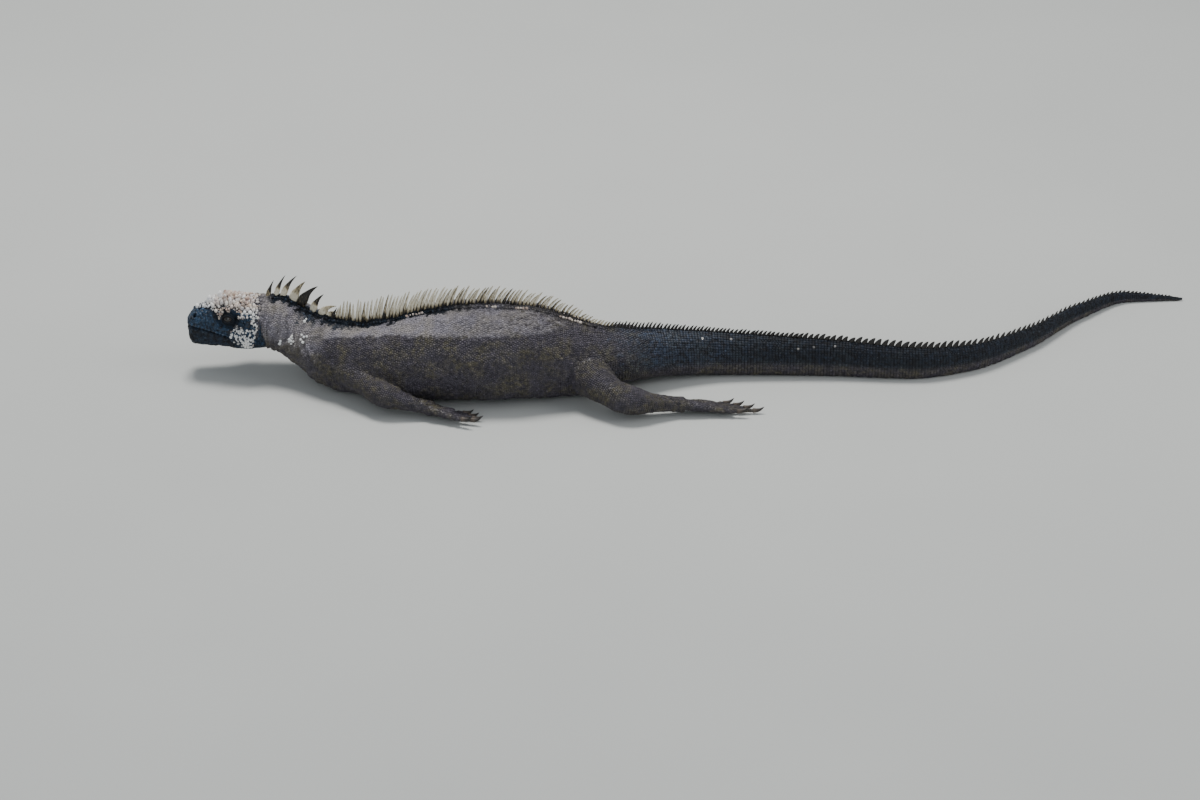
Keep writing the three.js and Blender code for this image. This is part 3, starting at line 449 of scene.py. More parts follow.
def eye_frame(hand):
    """The middle of the eyeball, and the directions out of the head, back along it and up."""
    point, out = seat(EYE, hand)
    back, up = side_ways(out)
    return point - out * EYE["depth"], out, back, up if up[2] > 0 else -up


# Meshes


def world(points):
    """From the part's measures to the row frame, in metres. Nothing reaches below the floor."""
    moved = (points - np.array(MIDDLE)) / PER_METRE
    moved[:, 2] = np.maximum(moved[:, 2], 0)
    return moved


def faces_of(*groups):
    """Corner indices and face starts of several arrays of faces."""
    corners = np.concatenate([g.ravel() for g in groups])
    sizes = np.concatenate([np.full(len(g), g.shape[1]) for g in groups])
    return corners, np.r_[0, np.cumsum(sizes)[:-1]]


def new_mesh(name, points, groups):
    corners, starts = faces_of(*groups)
    mesh = bpy.data.meshes.new(name)
    mesh.vertices.add(len(points))
    mesh.vertices.foreach_set("co", world(points).astype(np.float32).ravel())
    mesh.loops.add(len(corners))
    mesh.loops.foreach_set("vertex_index", corners.astype(np.int32))
    mesh.polygons.add(len(starts))
    mesh.polygons.foreach_set("loop_start", starts.astype(np.int32))
    mesh.update(calc_edges=True)
    return mesh


def add_values(mesh, values):
    for name, value in values.items():
        attribute = mesh.attributes.new(name, "FLOAT", "POINT")
        attribute.data.foreach_set("value", np.asarray(value, np.float32))


def add_unwrap(mesh, uv):
    corners = np.empty(len(mesh.loops), np.int32)
    mesh.loops.foreach_get("vertex_index", corners)
    layer = mesh.uv_layers.new(name="OFBake")
    layer.uv.foreach_set("vector", uv[corners].astype(np.float32).ravel())


def placed(name, data):
    """A new object in the scene."""
    made = bpy.data.objects.new(name, data)
    bpy.context.scene.collection.objects.link(made)
    return made


def show(name, mesh, material, replaces=()):
    """A finished mesh as a piece of the model."""
    mesh.polygons.foreach_set("use_smooth", np.ones(len(mesh.polygons), bool))
    mesh.materials.append(material)
    piece = placed(name, mesh)
    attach(piece, "root")
    if replaces:
        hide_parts(*replaces)


def ring_quads(rows, sides):
    """Faces between rings of equally many points."""
    a = (np.arange(rows - 1)[:, None] * sides + np.arange(sides)).ravel()
    b = (np.arange(rows - 1)[:, None] * sides + (np.arange(sides) + 1) % sides).ravel()
    return np.stack([a, b, b + sides, a + sides], 1)


def loft(rings, tip=None):
    """Points and faces of a closed surface through rings of equally many points."""
    rows, sides, _ = rings.shape
    end = rings[-1].mean(0) if tip is None else tip
    points = np.vstack([rings.reshape(-1, 3), rings[0].mean(0), end])
    quads = ring_quads(rows, sides)
    k = np.arange(sides)
    near = np.stack([(k + 1) % sides, k, np.full(sides, rows * sides)], 1)
    last = (rows - 1) * sides
    far = np.stack([last + k, last + (k + 1) % sides, np.full(sides, rows * sides + 1)], 1)
    triangles = np.vstack([near, far])
    if volume(points, quads, triangles) < 0:
        quads, triangles = quads[:, ::-1], triangles[:, ::-1]
    return points, quads, triangles


def volume(points, quads, triangles):
    """Six times the volume inside a closed surface, below zero where its faces point inwards."""
    every = np.vstack([quads[:, [0, 1, 2]], quads[:, [0, 2, 3]], triangles])
    a, b, c = (points[every[:, k]] for k in range(3))
    return (a * np.cross(b, c)).sum()


def joined(parts):
    """Several lofts as one set of points and faces."""
    points, quads, triangles, start = [], [], [], 0
    for p, q, t in parts:
        points.append(p)
        quads.append(q + start)
        triangles.append(t + start)
        start += len(p)
    return np.vstack(points), np.vstack(quads), np.vstack(triangles)


def tube(path, ways, radius, sides, thin=(0, 0, 1), flat=1.0):
    """Rings round a path, squeezed by flat along the direction thin."""
    across = unit(np.cross(np.array(thin, float), ways))
    up = unit(np.cross(ways, across))
    angle = circle(sides)
    radius = np.asarray(radius, float)[:, None, None]
    return (path[:, None] + across[:, None] * radius * np.cos(angle)[None, :, None]
            + up[:, None] * radius * flat * np.sin(angle)[None, :, None])


def lofted(name, form, material, values, replaces=(), unwrap=None):
    """A loft, or several joined, as a piece of the model."""
    points, quads, triangles = form
    mesh = new_mesh(name, points, [quads, triangles])
    add_values(mesh, values)
    if unwrap is not None:
        add_unwrap(mesh, unwrap)
    show(name, mesh, material, replaces)


def girth(radii, shares):
    table = np.stack([np.linspace(0, 1, len(radii)), radii], 1)
    return column(table)(shares)


# Skin: the body, legs, hands and feet in one surface


def body_form():
    """The body, with its rings closest at the snout."""
    places = np.r_[0, 0.5, 1.2, 2.4, np.arange(4, 90, 1.5), np.arange(90, BODY_LENGTH, 3), BODY_LENGTH]
    at, angle = np.meshgrid(places, circle(96), indexing="ij")
    return loft(body_point(at, angle, -SKIN_DEPTH))


def leg_form(limb):
    """A leg to its wrist, with the swell of its muscles and the knob of its elbow or knee."""
    shares = np.linspace(0, 1, 60)
    path, ways = spline(LEGS[limb][:3], len(shares))
    radius = girth(GIRTH[limb[:3]], shares) - SKIN_DEPTH + swells(shares, MUSCLES)
    radius += swells(shares, ELBOW_AND_WRIST)
    return loft(tube(path, ways, radius, 28, flat=LEG_FLAT))


def paw_plan(limb):
    """A hand or foot: its sizes, wrist and knuckles, and the ways along it, outwards and to its back."""
    plan = PAW[limb[:3]]
    hand = HANDS[limb[4:]]
    wrist, knuckles = (np.array(p, float) for p in LEGS[limb][2:])
    along = unit(knuckles - wrist)
    dorsal = unit(np.array(plan["back"]) * (1, hand, 1))
    outer = unit(np.cross(along, dorsal))
    outer = outer if outer[1] * hand > 0 else -outer
    return {**plan, "wrist": wrist, "knuckles": knuckles, "along": along, "outer": outer, "dorsal": dorsal}


def digit_path(limb, i):
    paw = paw_plan(limb)
    along, outer, place = paw["along"], paw["outer"], i - DIGITS // 2
    fan = math.radians(place * paw["spread"])
    root = paw["knuckles"] + outer * place * paw["wide"] * DIGIT_GAP - along * DIGIT_ROOT
    way = along * math.cos(fan) + outer * math.sin(fan)
    reach = paw["digits"][i] + DIGIT_ROOT
    return [root, root + way * reach * 0.5 + paw["dorsal"], root + way * reach]


def paw_forms(limb):
    """The palm and the digits, thickened at the knuckles and rounded at the ends."""
    paw = paw_plan(limb)
    flat_way = unit(np.cross(paw["along"], paw["outer"]))
    start = paw["wrist"] - paw["along"] * PAW_OVERLAP[0]
    end = paw["knuckles"] + paw["along"] * PAW_OVERLAP[1]
    path, ways = spline([start, (paw["wrist"] + end) / 2, end], 24)
    radius = girth([paw["wide"] * k for k in PAW_GIRTH], np.linspace(0, 1, 24)) - SKIN_DEPTH
    forms = [loft(tube(path, ways, radius, 24, flat_way, paw["thick"] / paw["wide"]))]
    thick, thin = paw["digit"]
    shares = np.linspace(0, 1, 40)
    for i in range(DIGITS):
        path, ways = spline(digit_path(limb, i), len(shares))
        radius = girth([thick, thick * 0.9, thin * 1.1, thin], shares) - SKIN_DEPTH * 0.6
        knuckle = bell((shares * KNUCKLES["count"]) % 1 - 0.5, KNUCKLES["width"]) * KNUCKLES["swell"]
        round_end = np.sqrt(np.clip((1.04 - shares) / 0.06, 0.2, 1))
        radius = (radius + (knuckle - KNUCKLES["swell"] / 2)) * round_end
        forms.append(loft(tube(path, ways, radius, 14, flat_way, 0.9)))
    return forms


def fused(parts):
    """One closed surface round overlapping forms."""
    points, quads, triangles = joined(parts)
    holder = placed("forms", new_mesh("forms", points, [quads, triangles]))
    remesh = holder.modifiers.new("fuse", "REMESH")
    remesh.mode = "VOXEL"
    remesh.voxel_size = VOXEL / PER_METRE
    evaluated = holder.evaluated_get(bpy.context.evaluated_depsgraph_get())
    made = bpy.data.meshes.new_from_object(evaluated)
    bpy.data.objects.remove(holder)
    return made


def refine(mesh, before):
    """Splits each face ahead of a place into four."""
    limit = (before - MIDDLE[0]) / PER_METRE
    work = bmesh.new()
    work.from_mesh(mesh)
    edges = {e for f in work.faces if f.calc_center_median().x < limit for e in f.edges}
    bmesh.ops.subdivide_edges(work, edges=list(edges), cuts=1, use_grid_fill=True)
    work.to_mesh(mesh)
    work.free()


def points_of(mesh):
    co = np.empty(len(mesh.vertices) * 3, np.float32)
    mesh.vertices.foreach_get("co", co)
    return co.reshape(-1, 3).astype(float) * PER_METRE + np.array(MIDDLE)


def normals_of(mesh):
    no = np.empty(len(mesh.vertices) * 3, np.float32)
    mesh.vertex_normals.foreach_get("vector", no)
    return no.reshape(-1, 3).astype(float)


def set_points(mesh, points):
    mesh.vertices.foreach_set("co", world(points).astype(np.float32).ravel())
    mesh.update()


def relaxed(mesh, points, rounds=4, share=0.5):
    """Points moved towards the middle of their neighbours."""
    ends = np.empty(len(mesh.edges) * 2, np.int32)
    mesh.edges.foreach_get("vertices", ends)
    a, b = ends.reshape(-1, 2).T
    number = len(points)
    count = np.bincount(np.r_[a, b], minlength=number)[:, None]
    for _ in range(rounds):
        total = np.zeros_like(points)
        for k in range(3):
            total[:, k] = np.bincount(a, points[b, k], number) + np.bincount(b, points[a, k], number)
        points = points + share * (total / count - points)
    return points


def brow_distance(at, z):
    """Distance in the side view from the line of the brow, and how far along it."""
    best, share = np.full(len(at), np.inf), np.zeros(len(at))
    p = np.stack([at, z], 1)
    for i in range(len(BROW) - 1):
        a, b = BROW[i], BROW[i + 1]
        t = np.clip(((p - a) @ (b - a)) / ((b - a) @ (b - a)), 0, 1)
        d = np.linalg.norm(p - a - t[:, None] * (b - a), axis=1)
        closer = d < best
        best = np.where(closer, d, best)
        share = np.where(closer, (i + t) / (len(BROW) - 1), share)
    return best, share


def nostril_pit(points, hand):
    """How far points are from a nostril, and how deep in it, from 0 to 1."""
    point, _ = seat(NOSTRIL, hand)
    far = np.linalg.norm((points - point) * (1, 1, NOSTRIL["tall"]), axis=1)
    return far, plateau(far, NOSTRIL["radius"])


def eye_relief(points, hand):
    """The socket, the groove round it, the hollow that they lie in, and the bag below."""
    centre, _, back, up = eye_frame(hand)
    off = points - centre
    along, high = off @ back, off @ up
    ring = np.hypot(along / EYE["stretch"], high)
    below = (high + EYE_HOLLOW["down"]) / EYE_HOLLOW["tall"]
    hollow = plateau(np.hypot(along / EYE_HOLLOW["long"], below), 1)
    bag = swells(np.hypot(along / EYE_BAG["stretch"], high + EYE_BAG["down"]), [EYE_BAG["swell"]])
    return (swells(ring, [SOCKET["groove"]]) - SOCKET["deep"] * plateau(ring, SOCKET["radius"], 6)
            - EYE_HOLLOW["deep"] * hollow + bag * smooth(-high, *EYE_BAG["below"]))


def drum_relief(points, hand):
    """The eardrum's sunken disc and its rim."""
    drum, _ = seat(EARDRUM, hand)
    off = points - drum
    ring = np.hypot(off[:, 0] / EARDRUM["half"], off[:, 2] / EARDRUM["tall"])
    return swells(ring, [EARDRUM["rim"]]) - EARDRUM["sunk"] * plateau(ring, 0.95, 6)


def head_relief(points, at, across):
    """How far the head's skin stands out at each point, and how deep in a groove it is, from 0 to 1."""
    z = points[:, 2]
    above = z - mouth_line(at)
    mouth = 1 - smooth(at, MOUTH_CORNER - 6, MOUTH_CORNER + 3)
    rise = (swells(above, LIPS) - JAW_STEP["deep"] * smooth(-above, 0, JAW_STEP["over"])) * mouth
    groove = bell(above, 0.9) * mouth
    near, share = brow_distance(at, z)
    height, width = BROW_SWELL
    brow = height * bell(near, width) * np.sin(math.pi * np.clip(share, 0.08, 0.92))
    jowl = JOWL["swell"] * bell(np.hypot(at - JOWL["at"], (z - JOWL["z"]) * 1.1), JOWL["wide"])
    both = brow + jowl - JAW_GAP["deep"] * jaw_gap(at, z)
    for hand in HANDS.values():
        far, pit = nostril_pit(points, hand)
        groove = np.maximum(groove, pit)
        rise += swells(far, [NOSTRIL["rim"]]) - NOSTRIL["deep"] * pit
        sideways = smooth(hand * across, 3, 9)
        rise += (eye_relief(points, hand) + drum_relief(points, hand) + both) * sideways
    return rise, groove


def jaw_gap(at, z):
    """The hollow between the jowl and the neck, wider towards the throat, where shade is painted."""
    edge = JAW_GAP["half"]
    half = edge + JAW_GAP["widening"] * np.maximum(JAW_GAP["below"] - z, 0)
    return (1 - smooth(np.abs(at - JAW_GAP["at"]), half - edge, half + edge)) * band(z, *JAW_GAP["height"])


def folds(points, at, plan):
    """Soft upright folds of the skin, from -1 to 1."""
    warp = waves(points, 34, SEED + 1) * plan["warp"]
    return np.sin((at + warp - plan["lean"] * points[:, 2]) * 2 * math.pi / plan["pitch"])


def trunk_relief(points, at, angle):
    """Folds of the neck, throat and flanks, and the loose skin of the sides."""
    up = np.sin(angle)
    neck = band(at, *NECK_FOLDS["zone"]) * (1 - 0.65 * smooth(up, 0.35, 0.8)) * NECK_FOLDS["height"]
    flank = band(at, *FLANK_FOLDS["zone"]) * (1 - smooth(up, -0.1, 0.55)) * FLANK_FOLDS["height"]
    loose = band(at, *LOOSE_SKIN["zone"]) * LOOSE_SKIN["height"]
    return (neck * folds(points, at, NECK_FOLDS) + flank * folds(points, at, FLANK_FOLDS)
            + loose * waves(points, LOOSE_SKIN["size"], SEED + 2))


def shaped_skin():
    """The skin's final mesh, and how deep in a groove its points are."""
    limbs = [form for limb in LEGS for form in [leg_form(limb), *paw_forms(limb)]]
    mesh = fused([body_form(), *limbs])
    for place in FINER_BEFORE:
        refine(mesh, place)
    points = relaxed(mesh, points_of(mesh))
    at, across, angle, far = body_coordinates(points)
    exact = body_point(at, angle, -SKIN_DEPTH)
    points = points + (exact - points) * (band(at, *HEAD_ZONE) * (far > 0.8))[:, None]
    set_points(mesh, points)
    ahead = 1 - smooth(at, *HEAD_FADE)
    rise, groove = head_relief(points, at, across)
    rise = rise * ahead + trunk_relief(points, at, angle) * (far < 1.3)
    rise += PORES["height"] * waves(points, PORES["size"], SEED + 3)
    set_points(mesh, points + normals_of(mesh) * rise[:, None])
    return mesh, groove * ahead


# Markings and painted light: shares of each colouring at points of the body, with painted shade and sheen


def crown_share(points, at, across):
    """1 on the crown of the head, inside the reach of its knobs, and 0 outside it."""
    rough = waves(points, 9, SEED + 23)
    inside = 1 - smooth(np.abs(across) - crown_reach(at) + rough, -1, 1)
    inside = inside * smooth(points[:, 2], *CROWN["height"]) * smooth(at, *CROWN["start"])
    return inside * (1 - smooth(at + 2 * rough, *CROWN["end"]))


def cheek_share(at, z):
    """1 on the jowl behind the corner of the mouth, inside slanting lines and outside the bare patch."""
    upper = CHEEK["corner"] + CHEEK["lean"] * (z - CHEEK["z"])
    lower = CHEEK["low_corner"] + CHEEK["low_lean"] * (CHEEK["low_z"] - z)
    rear = CHEEK["rear"] + CHEEK["rear_lean"] * (z - CHEEK["rear_z"])
    inside = np.minimum(at - np.maximum(upper, lower), rear - at)
    u, v = (at - BARE_PATCH["at"]) / BARE_PATCH["long"], (z - BARE_PATCH["z"]) / BARE_PATCH["tall"]
    return smooth(inside, -0.5, 1) * band(z, *CHEEK["height"]) * (1 - plateau(np.hypot(u, v), 1))


def orbit_share(at, z):
    """1 in the hollow round the eye, where the shadow of the brow is painted; it slopes down towards the
    back.
    """
    cos, sin = math.cos(ORBIT["tilt"]), math.sin(ORBIT["tilt"])
    back, up = at - ORBIT["at"], z - ORBIT["z"]
    u, v = back * cos - up * sin, back * sin + up * cos
    return plateau(np.hypot(u / ORBIT["long"], v / ORBIT["tall"]), 1)


def dry_share(points, at, rough):
    """1 where the skin is dry and dusty: the back down to its wet edge, and the folds of the neck."""
    z = points[:, 2]
    start, full, fade, end = DRY_BACK
    back = smooth(z - dry_edge(at) + 0.45 * rough, -0.9, 0.9) * smooth(at, start, full)
    back *= 1 - smooth(at + rough * 20 + waves(points, 3, SEED + 24) * 12, fade, end)
    start, full, fade, end = DRY_NECK
    neck = smooth(at + rough, start, full) * (1 - smooth(at, fade, end))
    neck *= 0.88 + 0.14 * folds(points, at, NECK_FOLDS)
    level = z - NECK_WET["z"] + NECK_WET["fall"] * (at - HEAD_END) + rough * 3
    neck *= NECK_WET["least"] + (1 - NECK_WET["least"]) * smooth(level, *NECK_WET["fade"])
    return np.maximum(back, neck)


def dark_lines(at, high, ragged):
    """Shares of the nape's painted shade under its spines, of the line under the crest, dark skin with
    painted shadow, and of the front.
    """
    nape = 0
    for middle, long, wide in NAPE_PATCHES:
        patch = bell(at - middle, long) * (1 - smooth(ragged, wide, wide + NAPE_EDGE))
        nape = np.maximum(nape, patch)
    nape = nape * smooth(high, 0.6, 0.75)
    front = 1 - smooth(at, *RIDGE_LINE["front"])
    inner, outer = (half + wider * front for half, wider in zip(RIDGE_LINE["half"], RIDGE_LINE["wider"]))
    ridge = (1 - smooth(ragged, inner, outer)) * (0.4 + 0.6 * front)
    return nape, ridge * smooth(high, 0.82, 0.92) * smooth(at, *RIDGE_LINE["start"]), front


def markings_and_painted_light(points, groove=0.0):
    """Shares of dust, salt, white, blue with a painted sheen, and painted shade with darker tones, the same
    for the skin and what grows on it.
    """
    at, across, _, far = body_coordinates(points)
    z = points[:, 2]
    body = far < 1.25
    high = z / section_top(at)
    above = z - mouth_line(at)
    rough = waves(points, 9, SEED + 20) + 0.6 * waves(points, 4, SEED + 21)
    nape, ridge, front = dark_lines(at, high, np.abs(across) + 2.5 * rough)
    gap, orbit, cheek = jaw_gap(at, z), orbit_share(at, z), cheek_share(at, z)
    dark = np.maximum.reduce([gap, nape, ridge])
    crown = crown_share(points, at, across) * (1 - smooth(at + 1.5 * rough, *CROWN_END))
    crown *= 0.35 + 0.65 * smooth(at + 2 * rough, *BARE_SNOUT)
    ahead = 1 - smooth(at + rough, *SNOUT_END)
    tail = smooth(at + rough * 6, *TAIL_START) * smooth(high, 0.3, 0.5)
    # Painted shade on the lower jaw, below the mouth line
    chin = 0.62 * (1 - smooth(above, -2.5, 0)) * (1 - smooth(at, *CHIN_END))
    # Blue on the snout, lips, jaw gap, nape, crest front and tail: partly the skin's own tint, partly a
    # painted sheen
    blue_and_painted_sheen = [ahead * smooth(above, -1.5, 0.5), 0.8 * ahead, 0.6 * tail, gap, nape, ridge * front]
    # Painted shade in grooves and nostrils, under the crest and its spines, in the jaw gap, under the brow
    # and on the lower jaw; the tail's upper side is darker in its own tone
    shade = [np.broadcast_to(groove, at.shape), 0.85 * ridge, 0.55 * nape, 0.2 * gap, orbit * (1 - crown),
             chin, 0.7 * tail * smooth(at, *TAIL_DARKENS)]
    return {
        "dust": np.clip(dry_share(points, at, rough) * (1 - 0.92 * dark), 0, 1) * body,
        "salt": np.clip(np.maximum(crown, cheek) * (1 - orbit * (crown < 0.5)), 0, 1) * body,
        "white": np.clip(np.maximum(cheek, 1 - smooth(at, *WHITE_SNOUT)), 0, 1),
        "blue_and_painted_sheen": np.clip(np.maximum.reduce(blue_and_painted_sheen) * (1 - 0.7 * crown) * body, 0, 1),
        "shade": np.clip(np.maximum.reduce(shade) * body, 0, 1),
    }


def marked(points, **changed):
    """The markings and painted light at points, with some of them given for all or one by one."""
    values = markings_and_painted_light(points)
    values.update((key, np.broadcast_to(value, len(points))) for key, value in changed.items())
    return values


# Materials


def srgb(text):
    """A colour written as six hexadecimal digits, as the linear colour that a shader takes."""
    parts = [int(text[i:i + 2], 16) / 255 for i in (0, 2, 4)]
    return tuple(c / 12.92 if c <= 0.04045 else ((c + 0.055) / 1.055) ** 2.4 for c in parts) + (1.0,)


def new_material(name, roughness=0.6, specular=0.5):
    material = bpy.data.materials.new(name)
    material.use_nodes = True
    shader = material.node_tree.nodes["Principled BSDF"]
    shader.inputs["Roughness"].default_value = roughness
    shader.inputs["Specular IOR Level"].default_value = specular
    return material, material.node_tree, shader


def node(tree, kind, inputs=None, **settings):
    made = tree.nodes.new(kind)
    for key, value in settings.items():
        setattr(made, key, value)
    for key, value in (inputs or {}).items():
        if isinstance(value, bpy.types.NodeSocket):
            tree.links.new(value, made.inputs[key])
        else:
            made.inputs[key].default_value = value
    return made


def attribute(tree, name):
    return node(tree, "ShaderNodeAttribute", attribute_name=name).outputs["Fac"]


def noise(tree, size, detail=3.0, stretch=(1, 1, 1)):
    """Noise from 0 to 1 with grains of about a size in millimetres."""
    place = node(tree, "ShaderNodeTexCoord").outputs["Object"]
    place = node(tree, "ShaderNodeMapping", {"Vector": place, "Scale": stretch}).outputs["Vector"]
    inputs = {"Vector": place, "Scale": PER_METRE / size, "Detail": detail, "Roughness": 0.6}
    return node(tree, "ShaderNodeTexNoise", inputs).outputs["Fac"]


def spread(tree, value, low, high, start=0.0, end=1.0):
    """A value stretched from low..high to start..end, and held there."""
    inputs = {"Value": value, "From Min": low, "From Max": high, "To Min": start, "To Max": end}
    return node(tree, "ShaderNodeMapRange", inputs).outputs["Result"]


def maths(tree, operation, a, b):
    return node(tree, "ShaderNodeMath", {0: a, 1: b}, operation=operation).outputs[0]


def mix(tree, share, a, b, blend="MIX"):
    """Two colours mixed by a share, each a node's or written out."""
    a, b = (srgb(colour) if isinstance(colour, str) else colour for colour in (a, b))
    return node(tree, "ShaderNodeMix", {0: share, 6: a, 7: b}, data_type="RGBA", blend_type=blend).outputs[2]


def shift(tree, value, low, high, a, b):
    """Colour a where a value is low, b where it is high."""
    return mix(tree, spread(tree, value, low, high), a, b)


def bump(tree, shader, height, strength, distance):
    """Relief of a height field, with a distance in millimetres."""
    inputs = {"Height": height, "Strength": strength, "Distance": distance / PER_METRE}
    tree.links.new(node(tree, "ShaderNodeBump", inputs).outputs["Normal"], shader.inputs["Normal"])


def hide_material(name, raised):
    """Skin, or the scales and knobs that stand on it: dry or wet, dusted and crusted with salt, with painted
    shade and a painted blue sheen.
    """
    material, tree, shader = new_material(name, specular=0.36)
    fine, middle, wide = noise(tree, 0.9), noise(tree, 4.5), noise(tree, 22, 4)
    dust, salt, white, blue_and_painted_sheen, shade, tone = (
        attribute(tree, key) for key in ("dust", "salt", "white", "blue_and_painted_sheen", "shade", "tone"))
    olive = shift(tree, wide, 0.42, 0.6, "47434c", "585344")
    brown = shift(tree, middle, 0.35, 0.66, "35323a", olive)
    # The blue of wet skin, partly its own tint and partly a painted sheen
    wet = mix(tree, blue_and_painted_sheen, brown, shift(tree, middle, 0.36, 0.64, "0f1824", "2e4863"))
    dry = shift(tree, fine, 0.3, 0.7, "58555c", "85828a")
    dry = shift(tree, wide, 0.38, 0.7, dry, "7a7570")
    brightness = spread(tree, tone, 0, 1, 0.5, 1.6)
    grey = node(tree, "ShaderNodeCombineColor", {0: brightness, 1: brightness, 2: brightness}).outputs[0]
    colour = mix(tree, 1.0, mix(tree, dust, wet, dry), grey, "MULTIPLY")
    cream = shift(tree, middle, 0.4, 0.6, "b0968a", "e6d6c4")
    clean = shift(tree, middle, 0.3, 0.6, "d6d9de", "f7f6f3")
    pale = mix(tree, spread(tree, tone, 0.45, 0.0, 0.0, 0.6), mix(tree, white, cream, clean), "6b5a52")
    crust = maths(tree, "ADD", salt, spread(tree, fine, 0.3, 0.7, -0.4, 0.3))
    if raised:
        rise = attribute(tree, "rise")
        crust = maths(tree, "ADD", crust, spread(tree, rise, 0.15, 0.8, -0.6, 0.2))
        # Painted shade at the foot of each scale, where it sinks into the skin between its neighbours
        colour = mix(tree, spread(tree, rise, 0.0, 0.6, 0.6, 0.0), colour, "14120f")
    else:
        crust = maths(tree, "SUBTRACT", crust, 1.0)
    crust = spread(tree, crust, 0.38, 0.62)
    colour = mix(tree, crust, colour, pale)
    # Painted shade and darker tones, towards near black
    colour = mix(tree, maths(tree, "MULTIPLY", shade, 0.94), colour, "07080a")
    tree.links.new(colour, shader.inputs["Base Color"])
    dryness = maths(tree, "MAXIMUM", shade, maths(tree, "MAXIMUM", dust, crust))
    gloss = maths(tree, "ADD", dryness, spread(tree, middle, 0, 1, -0.15, 0.15))
    tree.links.new(spread(tree, gloss, 0, 1, 0.4, 0.88), shader.inputs["Roughness"])
    bump(tree, shader, maths(tree, "ADD", fine, maths(tree, "MULTIPLY", middle, 0.6)), 0.5, 0.35)
    return material


def horn_material(name, light, brown, dark):
    """Spines and claws: light where the darkness is 0, brown halfway and dark where it is 1, streaked
    lengthwise; on the spines it holds painted shade too.
    """
    material, tree, shader = new_material(name)
    streak = noise(tree, 0.9, 4, stretch=(1, 1, 0.2))
    pigment_and_painted_shade = maths(tree, "ADD", attribute(tree, "pigment_and_painted_shade"), spread(tree, streak, 0.3, 0.7, -0.28, 0.28))
    pale = mix(tree, 0.55, shift(tree, noise(tree, 5), 0.35, 0.65, light, brown), light)
    colour = shift(tree, pigment_and_painted_shade, 0.55, 0.85, shift(tree, pigment_and_painted_shade, 0.3, 0.6, pale, brown), dark)
    tree.links.new(colour, shader.inputs["Base Color"])
    tree.links.new(spread(tree, pigment_and_painted_shade, 0, 1, 0.6, 0.42), shader.inputs["Roughness"])
    bump(tree, shader, streak, 0.5, 0.3)
    return material


def eye_material():
    """A dark brown iris round a black pupil, under a wet coat; the iris is darkened by painted shade of the
    brow.
    """
    material, tree, shader = new_material("eye", roughness=0.18)
    reach = attribute(tree, "reach")
    iris = shift(tree, noise(tree, 0.5, 4), 0.35, 0.65, "140d08", "33231a")
    colour = shift(tree, reach, 0.28, 0.33, "040303", iris)
    colour = shift(tree, reach, 0.54, 0.66, colour, "0b0908")
    tree.links.new(colour, shader.inputs["Base Color"])
    shader.inputs["Coat Weight"].default_value = 0.4
    shader.inputs["Coat Roughness"].default_value = 0.03
    return material


def drum_material():
    material, tree, shader = new_material("eardrum", roughness=0.55)
    cloud = noise(tree, 2.2, 4)
    tree.links.new(shift(tree, cloud, 0.35, 0.65, "16191f", "343842"), shader.inputs["Base Color"])
    bump(tree, shader, cloud, 0.3, 0.3)
    return material


# Scales


def spaced(points, room, cell):
    """Which points to keep so that no two discs of their rooms overlap, the earlier ones first."""
    keep = np.zeros(len(points), bool)
    boxes = {}
    keys = np.floor(points / cell).astype(int).tolist()
    near = [(i, j, k) for i in (-1, 0, 1) for j in (-1, 0, 1) for k in (-1, 0, 1)]
    for n, ((x, y, z), (i, j, k), mine) in enumerate(zip(points.tolist(), keys, room.tolist())):
        others = (other for di, dj, dk in near for other in boxes.get((i + di, j + dj, k + dk), ()))
        if all((px - x) ** 2 + (py - y) ** 2 + (pz - z) ** 2 >= (mine + r) ** 2 for px, py, pz, r in others):
            boxes.setdefault((i, j, k), []).append((x, y, z, mine))
            keep[n] = True
    return keep


class Surface:
    """The skin as something to stand scales on."""

    def __init__(self, mesh):
        self.points, self.normals = points_of(mesh), normals_of(mesh)
        mesh.calc_loop_triangles()
        triangles = np.empty(len(mesh.loop_triangles) * 3, np.int32)
        mesh.loop_triangles.foreach_get("vertices", triangles)
        self.triangles = triangles.reshape(-1, 3)
        self.tree = BVHTree.FromPolygons(self.points.tolist(), self.triangles.tolist())

    def below(self, points, ways, reach=5):
        """Where lines that come in along the ways meet the skin, the directions out, and which lines do."""
        hits, triangles, met = [], [], []
        for n, (point, way) in enumerate(zip(np.array(points).tolist(), np.array(ways).tolist())):
            start = Vector(point) + Vector(way) * reach
            hit, _, index, _ = self.tree.ray_cast(start, -Vector(way), 2 * reach)
            if hit is not None:
                hits.append(hit)
                triangles.append(index)
                met.append(n)
        corner = self.triangles[triangles]
        return np.array(hits), unit(self.normals[corner].sum(1)), np.array(met)

    def scattered(self, density, seed, keep):
        """Random points over the triangles that keep accepts, about so many to a square millimetre."""
        rng = np.random.default_rng(seed)
        a, b, c = (self.points[self.triangles[:, k]] for k in range(3))
        area = np.linalg.norm(np.cross(b - a, c - a), axis=1) / 2
        area = np.where(keep((a + b + c) / 3), area, 0)
        count = int(area.sum() * density)
        chosen = rng.choice(len(area), count, p=area / area.sum())
        u, v = rng.random(count), rng.random(count)
        u, v = np.where(u + v > 1, 1 - u, u), np.where(u + v > 1, 1 - v, v)
        share = np.stack([1 - u - v, u, v], 1)[:, :, None]
        corner = self.triangles[chosen]
        return (self.points[corner] * share).sum(1), unit((self.normals[corner] * share).sum(1))


